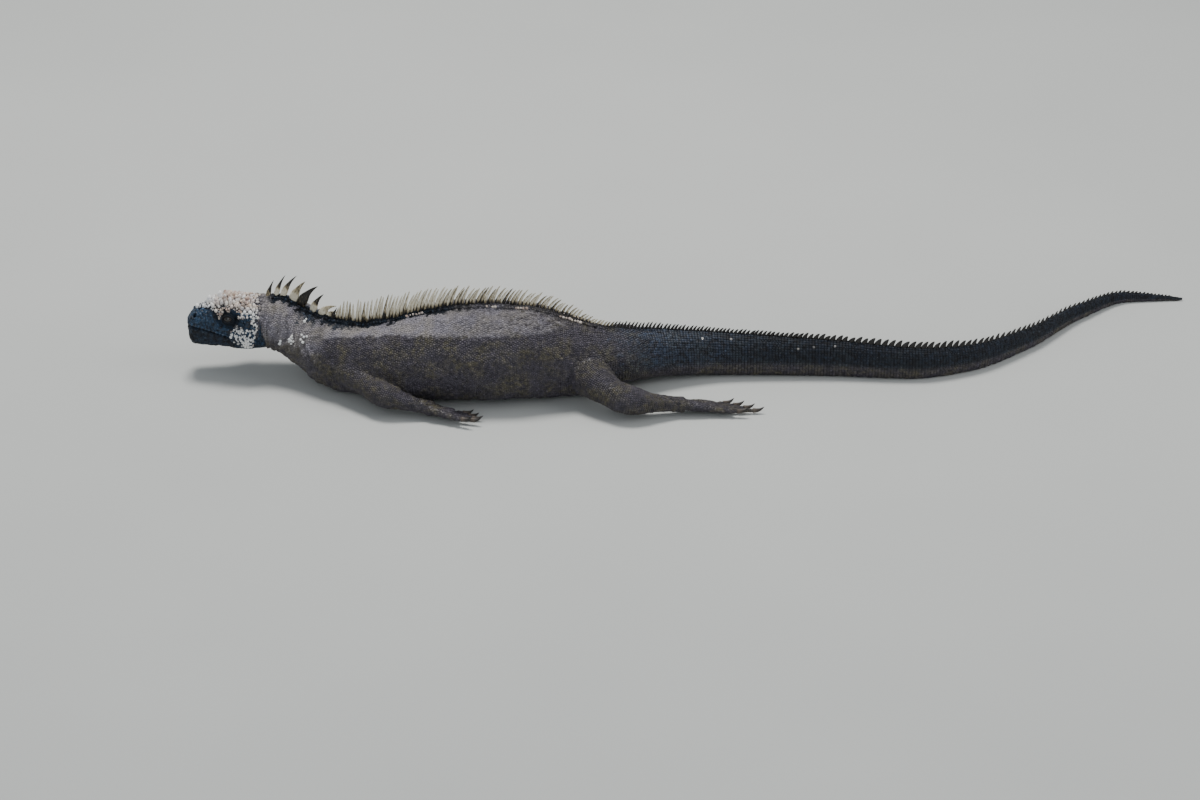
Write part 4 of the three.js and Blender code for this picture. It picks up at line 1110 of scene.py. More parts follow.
def ring_faces(rows, sides):
    """Triangles of a stack of rings that ends in a tip, closed below."""
    k, n = np.arange(sides), (np.arange(sides) + 1) % sides
    faces = [np.stack([np.zeros(sides - 2, int), k[2:], k[1:-1]], 1)]
    for start in range(0, (rows - 1) * sides, sides):
        a, b = k + start, n + start
        faces += [np.stack([a, b, b + sides], 1), np.stack([a, b + sides, a + sides], 1)]
    last = (rows - 1) * sides
    return np.vstack([*faces, np.stack([k + last, n + last, np.full(sides, rows * sides)], 1)])


def scale_template(sides, shoulder=0.84, shoulder_height=0.55, back=0.18):
    """A low dome: a sunk base, a shoulder and a tip. Columns: along, across, out, rise."""
    turn = circle(sides) + math.pi / sides
    base = np.stack([np.cos(turn), np.sin(turn), np.full(sides, -0.4), np.zeros(sides)], 1)
    top = np.stack([shoulder * np.cos(turn) + back * 0.5, shoulder * np.sin(turn),
                    np.full(sides, shoulder_height), np.full(sides, 0.6)], 1)
    return np.vstack([base, top, [(back, 0, 1, 1)]]), ring_faces(2, sides)


def keeled_template():
    """A scale of the tail: a long plate with a keel that runs out over the next one in a point."""
    outline = np.array([(-1, 0), (-0.8, 0.8), (0.15, 0.95), (0.95, 0.7), (1.3, 0),
                        (0.95, -0.7), (0.15, -0.95), (-0.8, -0.8)])
    lift = np.array([0.3, 0.25, 0.45, 0.5, 0.95, 0.5, 0.45, 0.25])
    sides = len(outline)
    base = np.column_stack([outline, np.full(sides, -0.4), np.zeros(sides)])
    top = np.column_stack([outline * (0.9, 0.84) + (0.06, 0), lift, lift])
    return np.vstack([base, top, [(0.4, 0, 1, 1)]]), ring_faces(2, sides)


def knob_template(rng):
    """A blunt, faceted cone with an uneven crown."""
    sides, levels = 7, [(-0.3, 1.0), (0.35, 0.98), (0.7, 0.87), (0.92, 0.56)]
    turn = circle(sides)
    rings = []
    for height, size in levels:
        rise = max(height, 0)
        uneven = rng.normal(0, 0.07, (sides, 3)) * (1, 1, height > 0)
        ring = np.stack([size * np.cos(turn) + 0.12 * rise, size * np.sin(turn), np.full(sides, height)], 1)
        rings.append(np.column_stack([ring + uneven, np.full(sides, rise)]))
    return np.vstack([*rings, [(0.14, 0, 1, 1)]]), ring_faces(len(levels), sides)


def stamped(template, place, out, way, radius, height, stretch):
    """Copies of a template at places: points, faces, and the rise of each point."""
    shape, faces = template
    way = unit(way - out * (way * out).sum(1, keepdims=True))
    across = np.cross(out, way)
    long = (radius * stretch)[:, None, None] * shape[None, :, :1] * way[:, None]
    wide = radius[:, None, None] * shape[None, :, 1:2] * across[:, None]
    sunk = np.where(shape[:, 2] < 0, np.minimum(height, 1.2)[:, None], height[:, None])
    tall = (sunk * shape[None, :, 2])[:, :, None] * out[:, None]
    points = (place[:, None] + long + wide + tall).reshape(-1, 3)
    index = (faces[None] + (np.arange(len(place)) * len(shape))[:, None, None]).reshape(-1, 3)
    return points, index, np.tile(shape[:, 3], len(place))


def standing(place, out, radius, height, way=(1.0, 0, 0), stretch=1.1):
    """Where the scales of a piece stand, how large they are, and which way each is stretched."""
    count = len(place)
    return {"place": place, "out": out, "way": np.broadcast_to(way, (count, 3)), "radius": radius,
            "height": height, "stretch": np.broadcast_to(stretch, count)}


def coat_piece(name, template, where, values, unwrap, material):
    """One joined mesh of scales that stand where standing says."""
    points, index, rise = stamped(template, **where)
    shape = template[0]
    mesh = new_mesh(name, points, [index])
    add_values(mesh, {**{key: np.repeat(value, len(shape)) for key, value in values.items()}, "rise": rise})
    add_unwrap(mesh, (unwrap[:, None] + shape[None, :, :2] * PATCH).reshape(-1, 2))
    show(name, mesh, material)


def pick(mask, *arrays):
    return [array[mask] for array in arrays]


def inset(u, v):
    """Places on the unwrap, kept clear of its edges."""
    return UNWRAP_EDGE + (1 - 2 * UNWRAP_EDGE) * np.stack([u, v], 1)


def limb_lines():
    """Points along every leg and foot, with their direction and radius, to place a scale on its limb."""
    rows = []
    for number, limb in enumerate(LEGS):
        shares = np.linspace(0, 1, 50)
        path, ways = spline(LEGS[limb][:3], len(shares))
        radius = girth(GIRTH[limb[:3]], shares)
        rows.append(np.column_stack([path, ways, radius, WRIST_SHARE * shares, np.full(50, number)]))
        paw = paw_plan(limb)
        shares = np.linspace(0, 1, 20)
        tips = paw["knuckles"] + paw["along"] * max(paw["digits"])
        path = paw["wrist"] + (tips - paw["wrist"]) * shares[:, None]
        rows.append(np.column_stack([path, np.tile(paw["along"], (20, 1)), np.full(20, 10.0),
                                     WRIST_SHARE + (1 - WRIST_SHARE) * shares, np.full(20, number)]))
    return np.vstack(rows)


def limb_coordinates(points, batch=20000):
    """For points on limbs: which limb, share of the way down it, angle round it, and the way down it."""
    lines = limb_lines()
    best = np.empty(len(points), int)
    for start in range(0, len(points), batch):
        part = points[start:start + batch]
        far = np.linalg.norm(part[:, None] - lines[None, :, :3], axis=2) / lines[None, :, 6]
        best[start:start + batch] = far.argmin(1)
    row = lines[best]
    way = row[:, 3:6]
    side = unit(np.cross(np.array([0, 0, 1.0]), way))
    off = points - row[:, :3]
    turn = np.arctan2((off * np.cross(way, side)).sum(1), (off * side).sum(1))
    return row[:, 8].astype(int), row[:, 7], turn, way


def body_rows():
    """Places and directions of scales in rings round the neck, trunk and tail."""
    rng = np.random.default_rng(SEED + 30)
    round_it = np.linspace(-math.pi / 2, 1.5 * math.pi, 73)
    places, at, row, count = [], HEAD_END + 3.0, 0, 0
    while at < BODY_LENGTH - 6:
        pitch = float(body_pitch(at))
        on_tail = at > TAIL_ROWS_FROM
        ring = body_point(np.full(len(round_it), at), round_it)
        length = np.r_[0, np.cumsum(np.linalg.norm(np.diff(ring, axis=0), axis=1))]
        if not on_tail or abs(length[-1] / count - pitch) > 0.13 * pitch:
            count = max(6, 2 * round(length[-1] / pitch / 2))
        reach = (np.arange(count) + 0.5 * (row % 2) * (not on_tail)) / count * length[-1]
        places.append(np.stack([np.full(count, at), np.interp(reach, length, round_it)], 1))
        at += float(tail_pitch(at)) if on_tail else pitch * ROW_STEP
        row += 1
    rows = np.vstack(places)
    rows = rows + rng.normal(size=rows.shape) * (0.3, 0.005) * (1 - 0.85 * smooth(rows[:, :1], *NEAT_ROWS))
    return body_point(rows[:, 0], rows[:, 1]), body_normal(rows[:, 0], rows[:, 1])


def limb_rows():
    """Places and directions of scales in rings round the legs and the digits."""
    places, outs = [], []
    for limb in LEGS:
        paw = paw_plan(limb)
        tubes = [(LEGS[limb][:3], GIRTH[limb[:3]], (0, 0, 1), LIMB_PITCH)]
        tubes += [(digit_path(limb, i), paw["digit"], paw["dorsal"], DIGIT_PITCH) for i in range(DIGITS)]
        for joints, radii, up, pitch in tubes:
            long = np.linalg.norm(np.diff(np.array(joints), axis=0), axis=1).sum()
            path, ways = spline(joints, int(long / (ROW_STEP * pitch)))
            side = unit(np.cross(np.array(up, float), ways))
            top = unit(np.cross(ways, side))
            radius = girth(radii, np.linspace(0, 1, len(path)))
            for row in range(len(path)):
                count = round(2 * math.pi * radius[row] / pitch)
                turn = (np.arange(count) + 0.5 * (row % 2)) / count * 2 * math.pi
                out = side[row] * np.cos(turn)[:, None] + top[row] * np.sin(turn)[:, None]
                places.append(path[row] + out * radius[row])
                outs.append(out)
    return np.vstack(places), np.vstack(outs)


def body_scales(surface):
    """Places, directions and radii of the scales behind the head: rows first, then smaller ones between."""
    spots = [(*surface.below(*rows, 4)[:2], *ROW_SCALE) for rows in (body_rows(), limb_rows())]
    for number, sizes in enumerate(PASSES):
        spot = surface.scattered(DENSITY["body"], SEED + 31 + number, lambda p: p[:, 0] > HEAD_END - 2)
        spots.append((*spot, *sizes))
    place, out = (np.concatenate([spot[k] for spot in spots]) for k in (0, 1))
    radius, room = (np.concatenate([np.full(len(spot[0]), spot[k]) for spot in spots]) for k in (2, 3))
    good = (place[:, 2] > 0.5) & (place[:, 0] > HEAD_END - 2) & (place[:, 0] < BODY_LENGTH - 5)
    place, out, radius, room = pick(good, place, out, radius, room)
    at, _, _, far = body_coordinates(place)
    on_body = far < ON_BODY
    digits = ~on_body & (limb_coordinates(place)[1] > 0.85)
    pitch = np.where(on_body, body_pitch(at), np.where(digits, DIGIT_PITCH, LIMB_PITCH))
    kept = spaced(place, room * pitch, 2.7)
    return place[kept], out[kept], (radius * pitch)[kept], radius[kept] / ROW_SCALE[0]


def body_coat(surface, material):
    """The small scales of neck, trunk, tail and limbs, in joined pieces."""
    place, out, radius, share_of_full = body_scales(surface)
    count = len(place)
    rng = np.random.default_rng(SEED + 32)
    at, across, angle, far = body_coordinates(place)
    on_body = far < ON_BODY
    limb, share, turn, limb_way = limb_coordinates(place)
    way = np.where(on_body[:, None], heading(at)[0], limb_way)
    tail = smooth(at, TAIL_ROWS_FROM - 10, TAIL_ROWS_FROM + 10) * on_body
    radius = radius * rng.uniform(1.02, 1.16, count) * (1 + 0.2 * tail)
    height = (0.66 + 0.2 * tail - 0.2 * (share > 0.8) * ~on_body) * rng.uniform(0.7, 1.3, count)
    big = (rng.random(count) < BIG_SCALES["share"]) & on_body & (at < BIG_SCALES["to"])
    height = height * share_of_full ** 0.6 * np.where(big, BIG_SCALES["height"], 1)
    height = height * (1 - 0.7 * smooth(at, *TAIL_TIP) * on_body)
    values = markings_and_painted_light(place)
    paler = 0.5 * values["dust"] * (1 - smooth(at, *PALER_FRONT))
    values["tone"] = np.clip(rng.normal(0.45, 0.2, count) + 0.25 * big + paler, 0, 1)
    # Salt-white scales on the tail, partly painted glints
    for hand in HANDS.values():
        for speck in SPECKS:
            nearest = np.linalg.norm(place - head_surface(*speck, hand)[0], axis=1).argmin()
            values["salt"][nearest], values["white"][nearest] = 0.8, 0.8
    zone = np.searchsorted(list(COAT_ENDS.values()), at, side="right")
    key = np.where(on_body, 2 * zone + (across > 0), 2 * len(COAT_ENDS) + limb)
    names = [f"{part}_{side}" for part in COAT_ENDS for side in HANDS] + list(LEGS)
    for number, name in enumerate(names):
        mine = key == number
        if name in LEGS:
            slot, long, wide = "leg_skin", share[mine], turn[mine] / (2 * math.pi) + 0.5
        else:
            slot = "tail_skin" if "tail" in name else "trunk_skin"
            long = (at[mine] - at[mine].min()) / np.ptp(at[mine])
            wide = np.abs(np.mod(angle[mine] + math.pi / 2, 2 * math.pi) - math.pi) / math.pi
        shape, stretch = (keeled_template(), 0.82) if slot == "tail_skin" else (scale_template(6), 1.1)
        where = standing(*pick(mine, place, out, radius, height, way), stretch)
        own = {key: value[mine] for key, value in values.items()}
        coat_piece(f"scales_{name}", shape, where, own, inset(long, wide), material)


# Head: plates, knobs, lips, lids and salt


def head_zone(points):
    """Radius and height of the head's scales at points, whether they are knobs, and where there are none."""
    at, across, _, _ = body_coordinates(points)
    z = points[:, 2]
    above = np.abs(z - mouth_line(at))
    crown = crown_share(points, at, across)
    cheek = smooth(at, *CHEEK_SCALES["from"]) * (1 - crown) * smooth(z, *CHEEK_SCALES["above"])
    throat = (1 - smooth(z, *THROAT)) * (1 - crown)
    radius = HEAD_SCALE["radius"] + 0.65 * crown - 0.55 * cheek - 0.3 * throat
    low = HEAD_SCALE["height"]
    domed = 1 - 0.35 * (across / crown_reach(at)) ** 2
    height = low + (knob_height(at) - low) * crown * domed + 0.9 * cheek
    bare = (above < BARE["lips"]) & (at < MOUTH_CORNER - 1)
    bare |= (above < BARE["corner"]) & (at < MOUTH_CORNER + 1)
    for hand in HANDS.values():
        mine = across * hand > 0
        nostril, _ = seat(NOSTRIL, hand)
        bare |= np.linalg.norm(points - nostril, axis=1) < NOSTRIL["radius"] + BARE["nostril"]
        centre, _, back, up = eye_frame(hand)
        off = points - centre
        ring = np.where(mine, np.hypot((off @ back) / EYE["stretch"], off @ up), np.inf)
        near = 1 - smooth(ring, *FINER_ROUND_EYE)
        radius = radius * (1 - 0.45 * near)
        height = height * (1 - 0.5 * near)
        bare |= (ring < BARE["eye"]) & (z < 80)
        drum, _ = seat(EARDRUM, hand)
        off = points - drum
        bare |= (np.hypot(off[:, 0], off[:, 2] * 0.85) < BARE["eardrum"]) & mine
    return radius, np.maximum(height, HEAD_SCALE["least"]), crown > 0.5, bare


def head_unwrap(points):
    at, _, angle, _ = body_coordinates(points)
    return inset(np.clip(at / (2 * HEAD_END), 0, 1), np.mod(angle / (2 * math.pi) + 0.25, 1))


def front_knobs():
    """Where the tall knobs of the crown stand, on both sides of its middle line."""
    at, across, radius, height = np.array(FRONT_KNOBS).T
    share = (np.abs(across) / section_half(at)) ** (section_square(at) / 2)
    angle = np.arccos(np.sign(across) * share)
    return body_point(at, angle, -SKIN_DEPTH), body_normal(at, angle), radius, height


def head_scales(surface):
    """Places, directions, radii and heights of the head's scales, and which are knobs and tall ones."""
    place, out, radius, height = ([values] for values in front_knobs())
    room = [radius[0] * 0.8]
    knob = [np.full(len(FRONT_KNOBS), True)]
    for number, size in enumerate(HEAD_PASSES):
        spot, normal = surface.scattered(DENSITY["head"], SEED + 41 + number, lambda p: p[:, 0] < HEAD_END)
        wide, high, knobs, bare = head_zone(spot)
        new = (spot, normal, wide * size, wide * size * 0.84, high * size ** 0.8, knobs)
        for values, more in zip((place, out, radius, room, height, knob), pick(~bare, *new)):
            values.append(more)
    place, out, radius, room, height, knob = map(np.concatenate, (place, out, radius, room, height, knob))
    kept = spaced(place, room, 6)
    front = np.arange(len(place)) < len(FRONT_KNOBS)
    return pick(kept, place, out, radius, height, knob, front)


def head_coat(surface, material):
    """Plates and knobs of the head, and grains of salt on the knobs."""
    rng = np.random.default_rng(SEED + 40)
    place, out, radius, height, knob, front = head_scales(surface)
    count = len(place)
    radius = radius * np.where(knob, rng.uniform(0.9, 1.06, count), rng.uniform(1.04, 1.14, count))
    height = height * np.where(front, 1, rng.uniform(0.7, 1.2, count))
    out = unit(out + (knob * height / 40)[:, None] * rng.normal(0, 1, out.shape))
    values = markings_and_painted_light(place)
    bright = rng.random(count) < 0.6 + 0.1 * waves(place, 4, SEED + 45)
    salt = np.where(knob, values["salt"], values["salt"] * (0.1 + 1.4 * bright))
    white = np.where(knob, np.maximum(values["white"], 0.9 * rng.random(count) ** 1.5), values["white"])
    values["salt"] = np.where(front, CRUSTED, salt)
    values["white"] = np.where(front, 1.0, white)
    values["tone"] = np.where(front, 1.0, np.clip(rng.normal(0.45, 0.22, count), 0, 1))
    for name, mine, shape in (("head_knobs", knob, knob_template(rng)),
                              ("head_plates", ~knob, scale_template(8, 0.88, 0.75, 0.05))):
        way = unit(rng.normal(0, 0.5, (mine.sum(), 3)) + (1, 0, 0))
        where = standing(*pick(mine, place, out, radius, height), way, 1.0)
        own = {key: value[mine] for key, value in values.items()}
        coat_piece(name, shape, where, own, head_unwrap(place[mine]), material)
    salty = ~front & (values["salt"] > np.where(knob, 0.4, 0.9))
    salt_grains(*pick(salty, place, out, radius, height, values["white"]), material)


def salt_grains(place, out, radius, height, white, material):
    """Small lumps of dried salt on the knobs of the crown."""
    rng = np.random.default_rng(SEED + 50)
    place, out, radius, height, white = (
        np.repeat(values, GRAINS_PER_KNOB, axis=0) for values in (place, out, radius, height, white))
    count = len(place)
    way = unit(rng.normal(size=(count, 3)) * 0.9 + out * 1.1)
    flat_way = way - out * (way * out).sum(1, keepdims=True)
    lift = rng.uniform(0.45, 1.0, count)
    spot = place + out * (height * lift)[:, None]
    spot = spot + unit(flat_way) * (radius * np.sqrt(1.02 - lift ** 2) * 0.8)[:, None]
    size = rng.uniform(0.25, 0.42, count) * np.sqrt(radius)
    values = marked(spot, tone=rng.uniform(0.2, 1, count), salt=CRUSTED, white=white, shade=0.0)
    where = standing(spot, way, size, size * 0.8, (0.3, 1.0, 0.2), rng.uniform(0.8, 1.4, count))
    coat_piece("salt_grains", scale_template(5), where, values, head_unwrap(spot), material)


def neck_clusters(surface, material):
    """Raised white scales in clusters low on each side of the neck."""
    rng = np.random.default_rng(SEED + 55)
    starts = [head_surface(at + back, z + up, hand)
              for hand in HANDS.values() for at, z, wide, count in CLUSTERS
              for back, up in rng.normal(0, 0.55, (count, 2)) * wide]
    place, out, _ = surface.below(*zip(*starts))
    kept = spaced(place, np.full(len(place), 0.8), 2)
    place, out = place[kept], out[kept]
    count = len(place)
    values = marked(place, salt=CRUSTED, white=1.0, tone=rng.uniform(0.3, 0.8, count), shade=0.0)
    where = standing(place, out, rng.uniform(1.0, 1.75, count), rng.uniform(1.8, 2.9, count))
    coat_piece("neck_knobs", knob_template(rng), where, values, head_unwrap(place), material)


def lip_plates(surface, material):
    """Two rows of long low plates, one along each lip."""
    rng = np.random.default_rng(SEED + 60)
    starts = []
    for offset in LIP_ROWS["heights"]:
        for hand in HANDS.values():
            for at in np.arange(LIP_ROWS["from"], MOUTH_CORNER - 2, LIP_ROWS["step"]):
                starts.append(head_surface(at, float(mouth_line(at)) + offset, hand))
        for across in LIP_ROWS["front"]:
            point = [1.0, float(section_side(0)) + across, float(mouth_line(0)) + offset]
            starts.append((np.array(point), np.array([-1.0, 0, 0])))
    place, out, _ = surface.below(*zip(*starts))
    count = len(place)
    values = marked(place, tone=np.clip(rng.normal(0.55, 0.15, count), 0, 1))
    where = standing(place, out, rng.uniform(1.5, 1.7, count), rng.uniform(0.4, 0.55, count),
                     unit(np.cross(np.array([0, 0, 1.0]), out)), 1.25)
    coat_piece("lip_plates", scale_template(8, 0.88, 0.75, 0), where, values, head_unwrap(place), material)


def lid_rings(hand):
    """The lids as one shell of rings round the almond of the eye."""
    centre, out, back, up = eye_frame(hand)
    turn = circle(72)
    wide, tall = np.abs(np.cos(turn)) / EYE["long"], np.abs(np.sin(turn)) / EYE["tall"]
    edge = (wide ** 1.5 + tall ** 1.5) ** (-1 / 1.5)
    start = np.arcsin(np.clip(edge / EYE["radius"], 0, 0.97))
    plane = back[None] * np.cos(turn)[:, None] + up[None] * np.sin(turn)[:, None]
    rings = []
    for tilt, lift in LID_FOLDS:
        angle = np.minimum(start + tilt, 1.75)[:, None]
        rings.append(centre + (out * np.cos(angle) + plane * np.sin(angle)) * (EYE["radius"] + lift))
    return np.array(rings)


def lids(material):
    for side, hand in HANDS.items():
        rings = lid_rings(hand)
        centre = eye_frame(hand)[0]
        points = rings.reshape(-1, 3)
        quads = ring_quads(*rings.shape[:2])[:, [0, 3, 2, 1]]
        first = points[quads[0]]
        if np.cross(first[1] - first[0], first[3] - first[0]) @ (first.mean(0) - centre) < 0:
            quads = quads[:, ::-1]
        mesh = new_mesh(f"lids_{side}", points, [quads])
        values = markings_and_painted_light(points)
        # The lids keep the painted shadow of the brow, and little salt
        values.update(salt=values["salt"] * 0.2, shade=values["shade"] * 0.96)
        tone = 0.55 + 0.25 * waves(points, 3, SEED + 61)
        add_values(mesh, {**values, "tone": tone, "rise": np.ones(len(points))})
        show(f"lids_{side}", mesh, material)
        lid_scales(side, centre, rings, material)


def lid_scales(side, centre, rings, material):
    """Rows of fine scales round the lids, the first along their edges."""
    rng = np.random.default_rng(SEED + 62)
    place = []
    for row, count in LID_SCALE_ROWS:
        chosen = ((np.arange(count) + 0.5 * (row % 2)) / count * rings.shape[1]).astype(int)
        place.append(rings[row, chosen % rings.shape[1]])
    place = np.vstack(place)
    count = len(place)
    values = marked(place, tone=rng.uniform(0.2, 0.8, count))
    # The lid scales keep the painted shadow of the brow, and little salt
    values.update(salt=values["salt"] * 0.3, shade=values["shade"] * 0.93)
    out, radius = unit(place - centre), rng.uniform(0.5, 0.68, count)
    where = standing(place, out, radius, rng.uniform(0.25, 0.4, count))
    coat_piece(f"lid_scales_{side}", scale_template(6), where, values, head_unwrap(place), material)


def eyes():
    material = eye_material()
    for side, hand in HANDS.items():
        centre, out, back, up = eye_frame(hand)
        tilt = np.linspace(0.06, math.pi - 0.06, 40)
        turn = circle(48)[:, None]
        radius = EYE["radius"] - 0.15 + 0.35 * bell(tilt, 0.55)
        rings = [centre + (out * math.cos(t) + (back * np.cos(turn) + up * np.sin(turn)) * math.sin(t)) * r
                 for t, r in zip(tilt, radius)]
        ball = loft(np.array(rings))
        reach = np.arccos(np.clip(unit(ball[0] - centre) @ out, -1, 1))
        lofted(f"eye_{side}_ball", ball, material, {"reach": reach}, [f"eye_{side}"])


def eardrums():
    material = drum_material()
    for side, hand in HANDS.items():
        point, out = seat(EARDRUM, hand)
        back, up = side_ways(out)
        turn = circle(40)[:, None]
        rim = back * np.cos(turn) * EARDRUM["half"] + up * np.sin(turn) * EARDRUM["tall"]
        depth = EARDRUM["sunk"] + SKIN_DEPTH
        levels = [(0.15, -0.45), (0.5, -0.35), (0.8, -0.1), (1.0, 0.15), (1.02, -1.2)]
        rings = np.array([point + out * (lift - depth + 0.35) + rim * share for share, lift in levels])
        lofted(f"drum_{side}", loft(rings), material, {}, [f"eardrum_{side}"])


# Crest


def spine_shape(at, length, width, lean, leaf, rng):
    """A tapered spine that bends back: rings of points, the tip, and how far up it each ring is."""
    along, right = (v[0] for v in heading(np.array([at])))
    up = np.array([0, 0, 1.0])
    shares = np.r_[-SPINE["root"], np.linspace(0, SPINE["last_ring"], SPINE["rings"])]
    seen = np.clip(shares, 0, 1)
    tilt = lean * (0.55 + 0.9 * seen)
    ways = up * np.cos(tilt)[:, None] + along * np.sin(tilt)[:, None]
    step = np.diff(shares, prepend=shares[0]) * length
    path = np.cumsum(step[:, None] * (ways + right * rng.normal(0, SPINE["sway"])), 0)
    foot = float(section_top(at) + ridge_height(at)) - SPINE["sunk"] - SPINE["root"] * length
    path = path + np.array([at, float(section_side(at)), foot])
    size = (1 - seen) ** (0.52 + 0.28 * leaf) * (1 + (0.08 + 0.34 * leaf) * bell(shares - 0.25, 0.22))
    front = unit(np.cross(right, ways))
    turn = circle(SPINE["sides"])[None, :, None]
    wide = (width / 2 * size)[:, None, None]
    rings = (path[:, None] + front[:, None] * wide * np.cos(turn)
             + right * wide * SPINE["thick"] * np.sin(turn))
    return rings, path[-1] + ways[-1] * SPINE["tip"] * length, shares


def spine_plan(rng):
    """Every spine from nape to tail tip: at, length, width, lean, leaf shape, darkness at root and tip."""
    plan = [(at, long, wide, math.radians(lean), 1.0, root, tip)
            for at, long, wide, lean, root, tip in NECK_SPINES]
    length, width, pitch, lean = (column(CREST, key) for key in range(1, 5))
    middle, wide = CREST_DARK["gap"]
    at = NECK_SPINES[-1][0] + 4
    while at < CREST_END:
        vary = rng.uniform((0.84, 0.93, 0.85, 0.93), (1.05, 1.07, 1.15, 1.07))
        tail, rear = float(smooth(at, *CREST_DARK["tail"])), float(smooth(at, *CREST_DARK["rear"]))
        dark = 0.45 * rng.random() ** 2 + 0.2 * bell(at - middle, wide) + 0.12 * rear
        root, tip = 0.1 + 0.8 * tail + dark, 0.95 * tail + dark
        plan.append((at, float(length(at)) * vary[0], float(width(at)) * vary[1],
                     math.radians(float(lean(at))) * vary[2], 0.0, root, tip))
        at += float(pitch(at)) * vary[3]
    return plan


def crest_unwrap(at, along, aside):
    return np.stack([UNWRAP_EDGE + (1 - 2 * UNWRAP_EDGE) * at / BODY_LENGTH + along, 0.5 + aside], 1)


def crest():
    """The spines, in one piece for each stretch of the body."""
    rng = np.random.default_rng(SEED + 70)
    material = horn_material("crest_horn", "eee7d2", "a09273", "14100e")
    plan = spine_plan(rng)
    for name, start, end in CREST_PIECES:
        parts, pigment_and_painted_shade, unwrap = [], [], []
        for at, long, wide, lean, leaf, root, tip in plan:
            if not start <= at < end:
                continue
            rings, end_point, shares = spine_shape(at, long, wide, lean, leaf, rng)
            parts.append(loft(rings, end_point))
            share = np.clip(np.r_[np.repeat(shares, SPINE["sides"]), 0, 1], 0, 1)
            # Back spines are darker on their rear sides and at their roots: painted shade, the roots partly
            # their own dark colour
            rear = np.r_[np.tile(-np.cos(circle(SPINE["sides"])), len(shares)), 0, 0]
            bound = 0.3 if leaf else 0.85
            pigment_and_painted_shade.append(root + (tip - root) * smooth(share, bound - 0.25, bound + 0.25)
                       + (1 - leaf) * (0.4 * np.maximum(rear, 0) + 0.6 * bell(share, 0.16)))
            unwrap.append(crest_unwrap(at, share * PATCH, rear * PATCH))
        lofted(f"crest_{name}", joined(parts), material, {"pigment_and_painted_shade": np.concatenate(pigment_and_painted_shade)},
               unwrap=np.concatenate(unwrap))


def crest_foot(surface, material):
    """A row of small raised scales along each side of the crest, dark but for a few pale stretches; the dark
    is partly their own and partly painted shadow below the crest.
    """
    rng = np.random.default_rng(SEED + 75)
    steps = np.arange(FOOT_ROW["from"], FOOT_ROW["to"], FOOT_ROW["step"])
    at = np.repeat(steps, 2) + rng.normal(0, 0.25, 2 * len(steps))
    hand = np.tile(list(HANDS.values()), len(steps))
    angle = np.arccos(hand * (FOOT_ROW["aside"] / section_half(at)) ** (section_square(at) / 2))
    place, out, met = surface.below(body_point(at, angle), body_normal(at, angle))
    count, at, hand = len(place), at[met], hand[met]
    pale = np.maximum.reduce([band(at, start - 1, start + 1, end - 1, end + 1) for start, end in PALE_FOOT])
    pale = pale * (rng.random(count) < 0.7)
    dark = (1 - 0.7 * smooth(at, *CREST_DARK["foot"])) * rng.uniform(0.4, 0.95, count)
    values = marked(place, salt=pale * 1.5, white=rng.uniform(0, 0.4, count), shade=(1 - pale) * dark,
                    tone=np.clip(rng.normal(0.5, 0.2, count), 0, 1))
    lean = unit(out + np.array([0.35, 0, 0.35]) + heading(at)[1] * (0.25 * hand)[:, None])
    where = standing(place, lean, rng.uniform(0.85, 1.6, count), rng.uniform(0.9, 2.8, count),
                     stretch=rng.uniform(0.9, 1.4, count))
    coat_piece("crest_foot", knob_template(rng), where, values, crest_unwrap(at, 0, 0.01 * hand), material)


# Claws


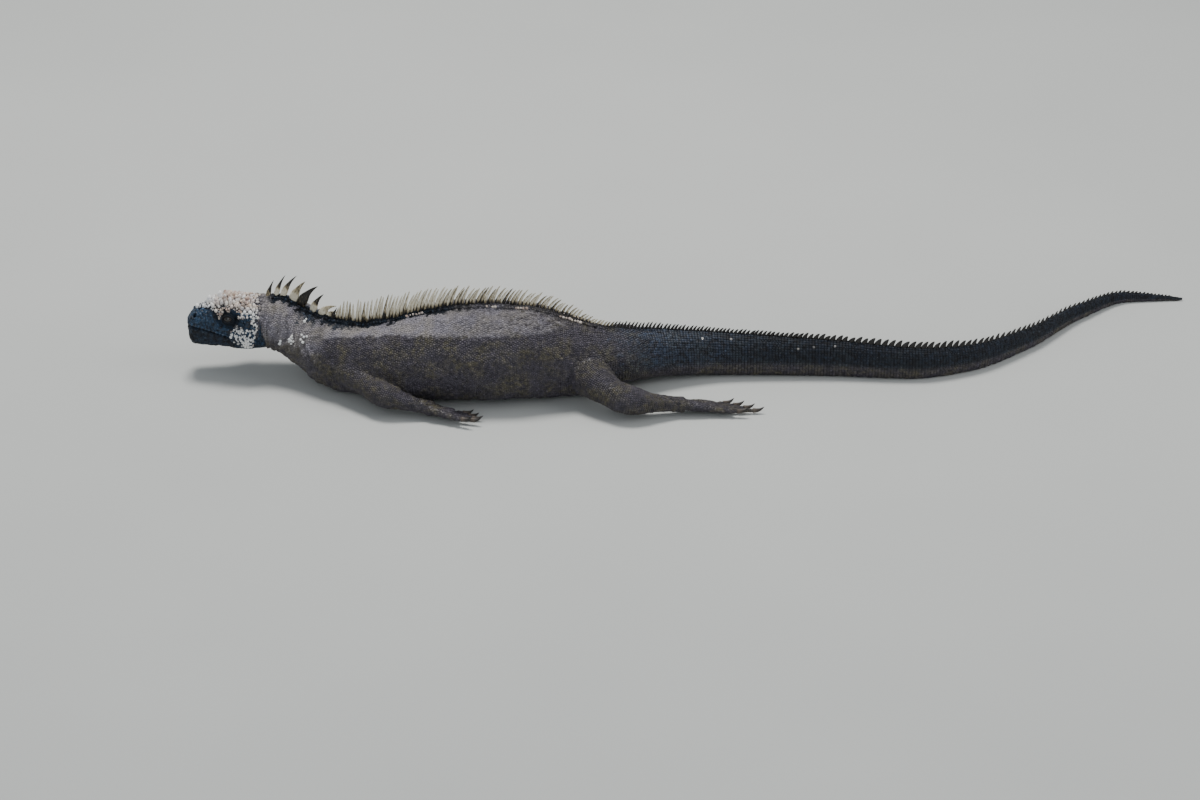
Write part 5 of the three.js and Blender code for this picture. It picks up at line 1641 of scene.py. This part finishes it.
def claws():
    material = horn_material("claw_horn", "5c5148", "2f2823", "0d0b0a")
    sides, shares = 12, np.linspace(0, 1, 14)
    for limb in LEGS:
        paw = paw_plan(limb)
        size, thin, down = paw["claw"], paw["digit"][1], paw["dorsal"]
        for i in range(DIGITS):
            _, bend, root = digit_path(limb, i)
            way = unit(root - bend)
            spots = [root + way * (size * s - 1.2) - down * size * d for s, d in CLAW_BEND]
            middle, ways = spline(spots, len(shares))
            radius = girth([*(thin * k for k in CLAW_GIRTH), 0.25], shares)
            rings = tube(middle, ways, radius, sides, down, 1.12)
            pigment_and_painted_shade = 0.2 + 0.8 * np.r_[np.repeat(shares, sides), 0, 1]
            name = f"{paw['node']}_{limb[4:]}_{i + 1}"
            lofted(f"horn_{name}", loft(rings, middle[-1] + ways[-1] * 0.25), material, {"pigment_and_painted_shade": pigment_and_painted_shade},
                   [f"claw_{name}"])


# Stage


def floor():
    material, tree, shader = new_material("floor", roughness=0.8, specular=0.2)
    tint = mix(tree, noise(tree, 400, 2), "bfc1bf", "c9cbc8")
    tree.links.new(tint, shader.inputs["Base Color"])
    mesh = bpy.data.meshes.new("floor")
    mesh.from_pydata(FLOOR, [], [(0, 1, 2, 3)])
    mesh.materials.append(material)
    plane = placed("floor", mesh)


def lights():
    for name, (place, size, energy, colour) in LIGHTS.items():
        data = bpy.data.lights.new(name, "AREA")
        data.size, data.energy, data.color = size, energy, colour
        lamp = placed(name, data)
        lamp.location = place
        lamp.rotation_euler = (-Vector(place)).to_track_quat("-Z", "Y").to_euler()
    world = bpy.data.worlds.new("studio")
    world.use_nodes = True
    background = world.node_tree.nodes["Background"]
    background.inputs["Color"].default_value = WORLD["colour"]
    background.inputs["Strength"].default_value = WORLD["strength"]
    bpy.context.scene.world = world


def camera():
    data = bpy.data.cameras.new("camera")
    data.lens, data.sensor_width = CAMERA["lens"], CAMERA["sensor"]
    made = placed("camera", data)
    tilt = math.radians(CAMERA["elevation"])
    away = Vector((0, -math.cos(tilt), math.sin(tilt))) * CAMERA["distance"]
    made.location = Vector(CAMERA["target"]) + away
    made.rotation_euler = (-away).to_track_quat("-Z", "Y").to_euler()
    bpy.context.scene.camera = made


# Assembly


def skin():
    mesh, groove = shaped_skin()
    points = points_of(mesh)
    tone = np.clip(0.45 + 0.15 * waves(points, 2.2, SEED + 80), 0, 1)
    # The grooves of the mouth and nostrils take painted shade
    add_values(mesh, {**markings_and_painted_light(points, groove), "tone": tone})
    flesh = [n for n in frame["nodes"] if not n.startswith(("claw_", "eye_", "eardrum_"))]
    show("skin", mesh, hide_material("skin", raised=False), flesh)
    return Surface(mesh)


surface = skin()
scales = hide_material("scales", raised=True)
for coat in (body_coat, head_coat, neck_clusters, lip_plates):
    coat(surface, scales)
lids(scales)
eyes()
eardrums()
crest()
crest_foot(surface, scales)
claws()
floor()
lights()
camera()
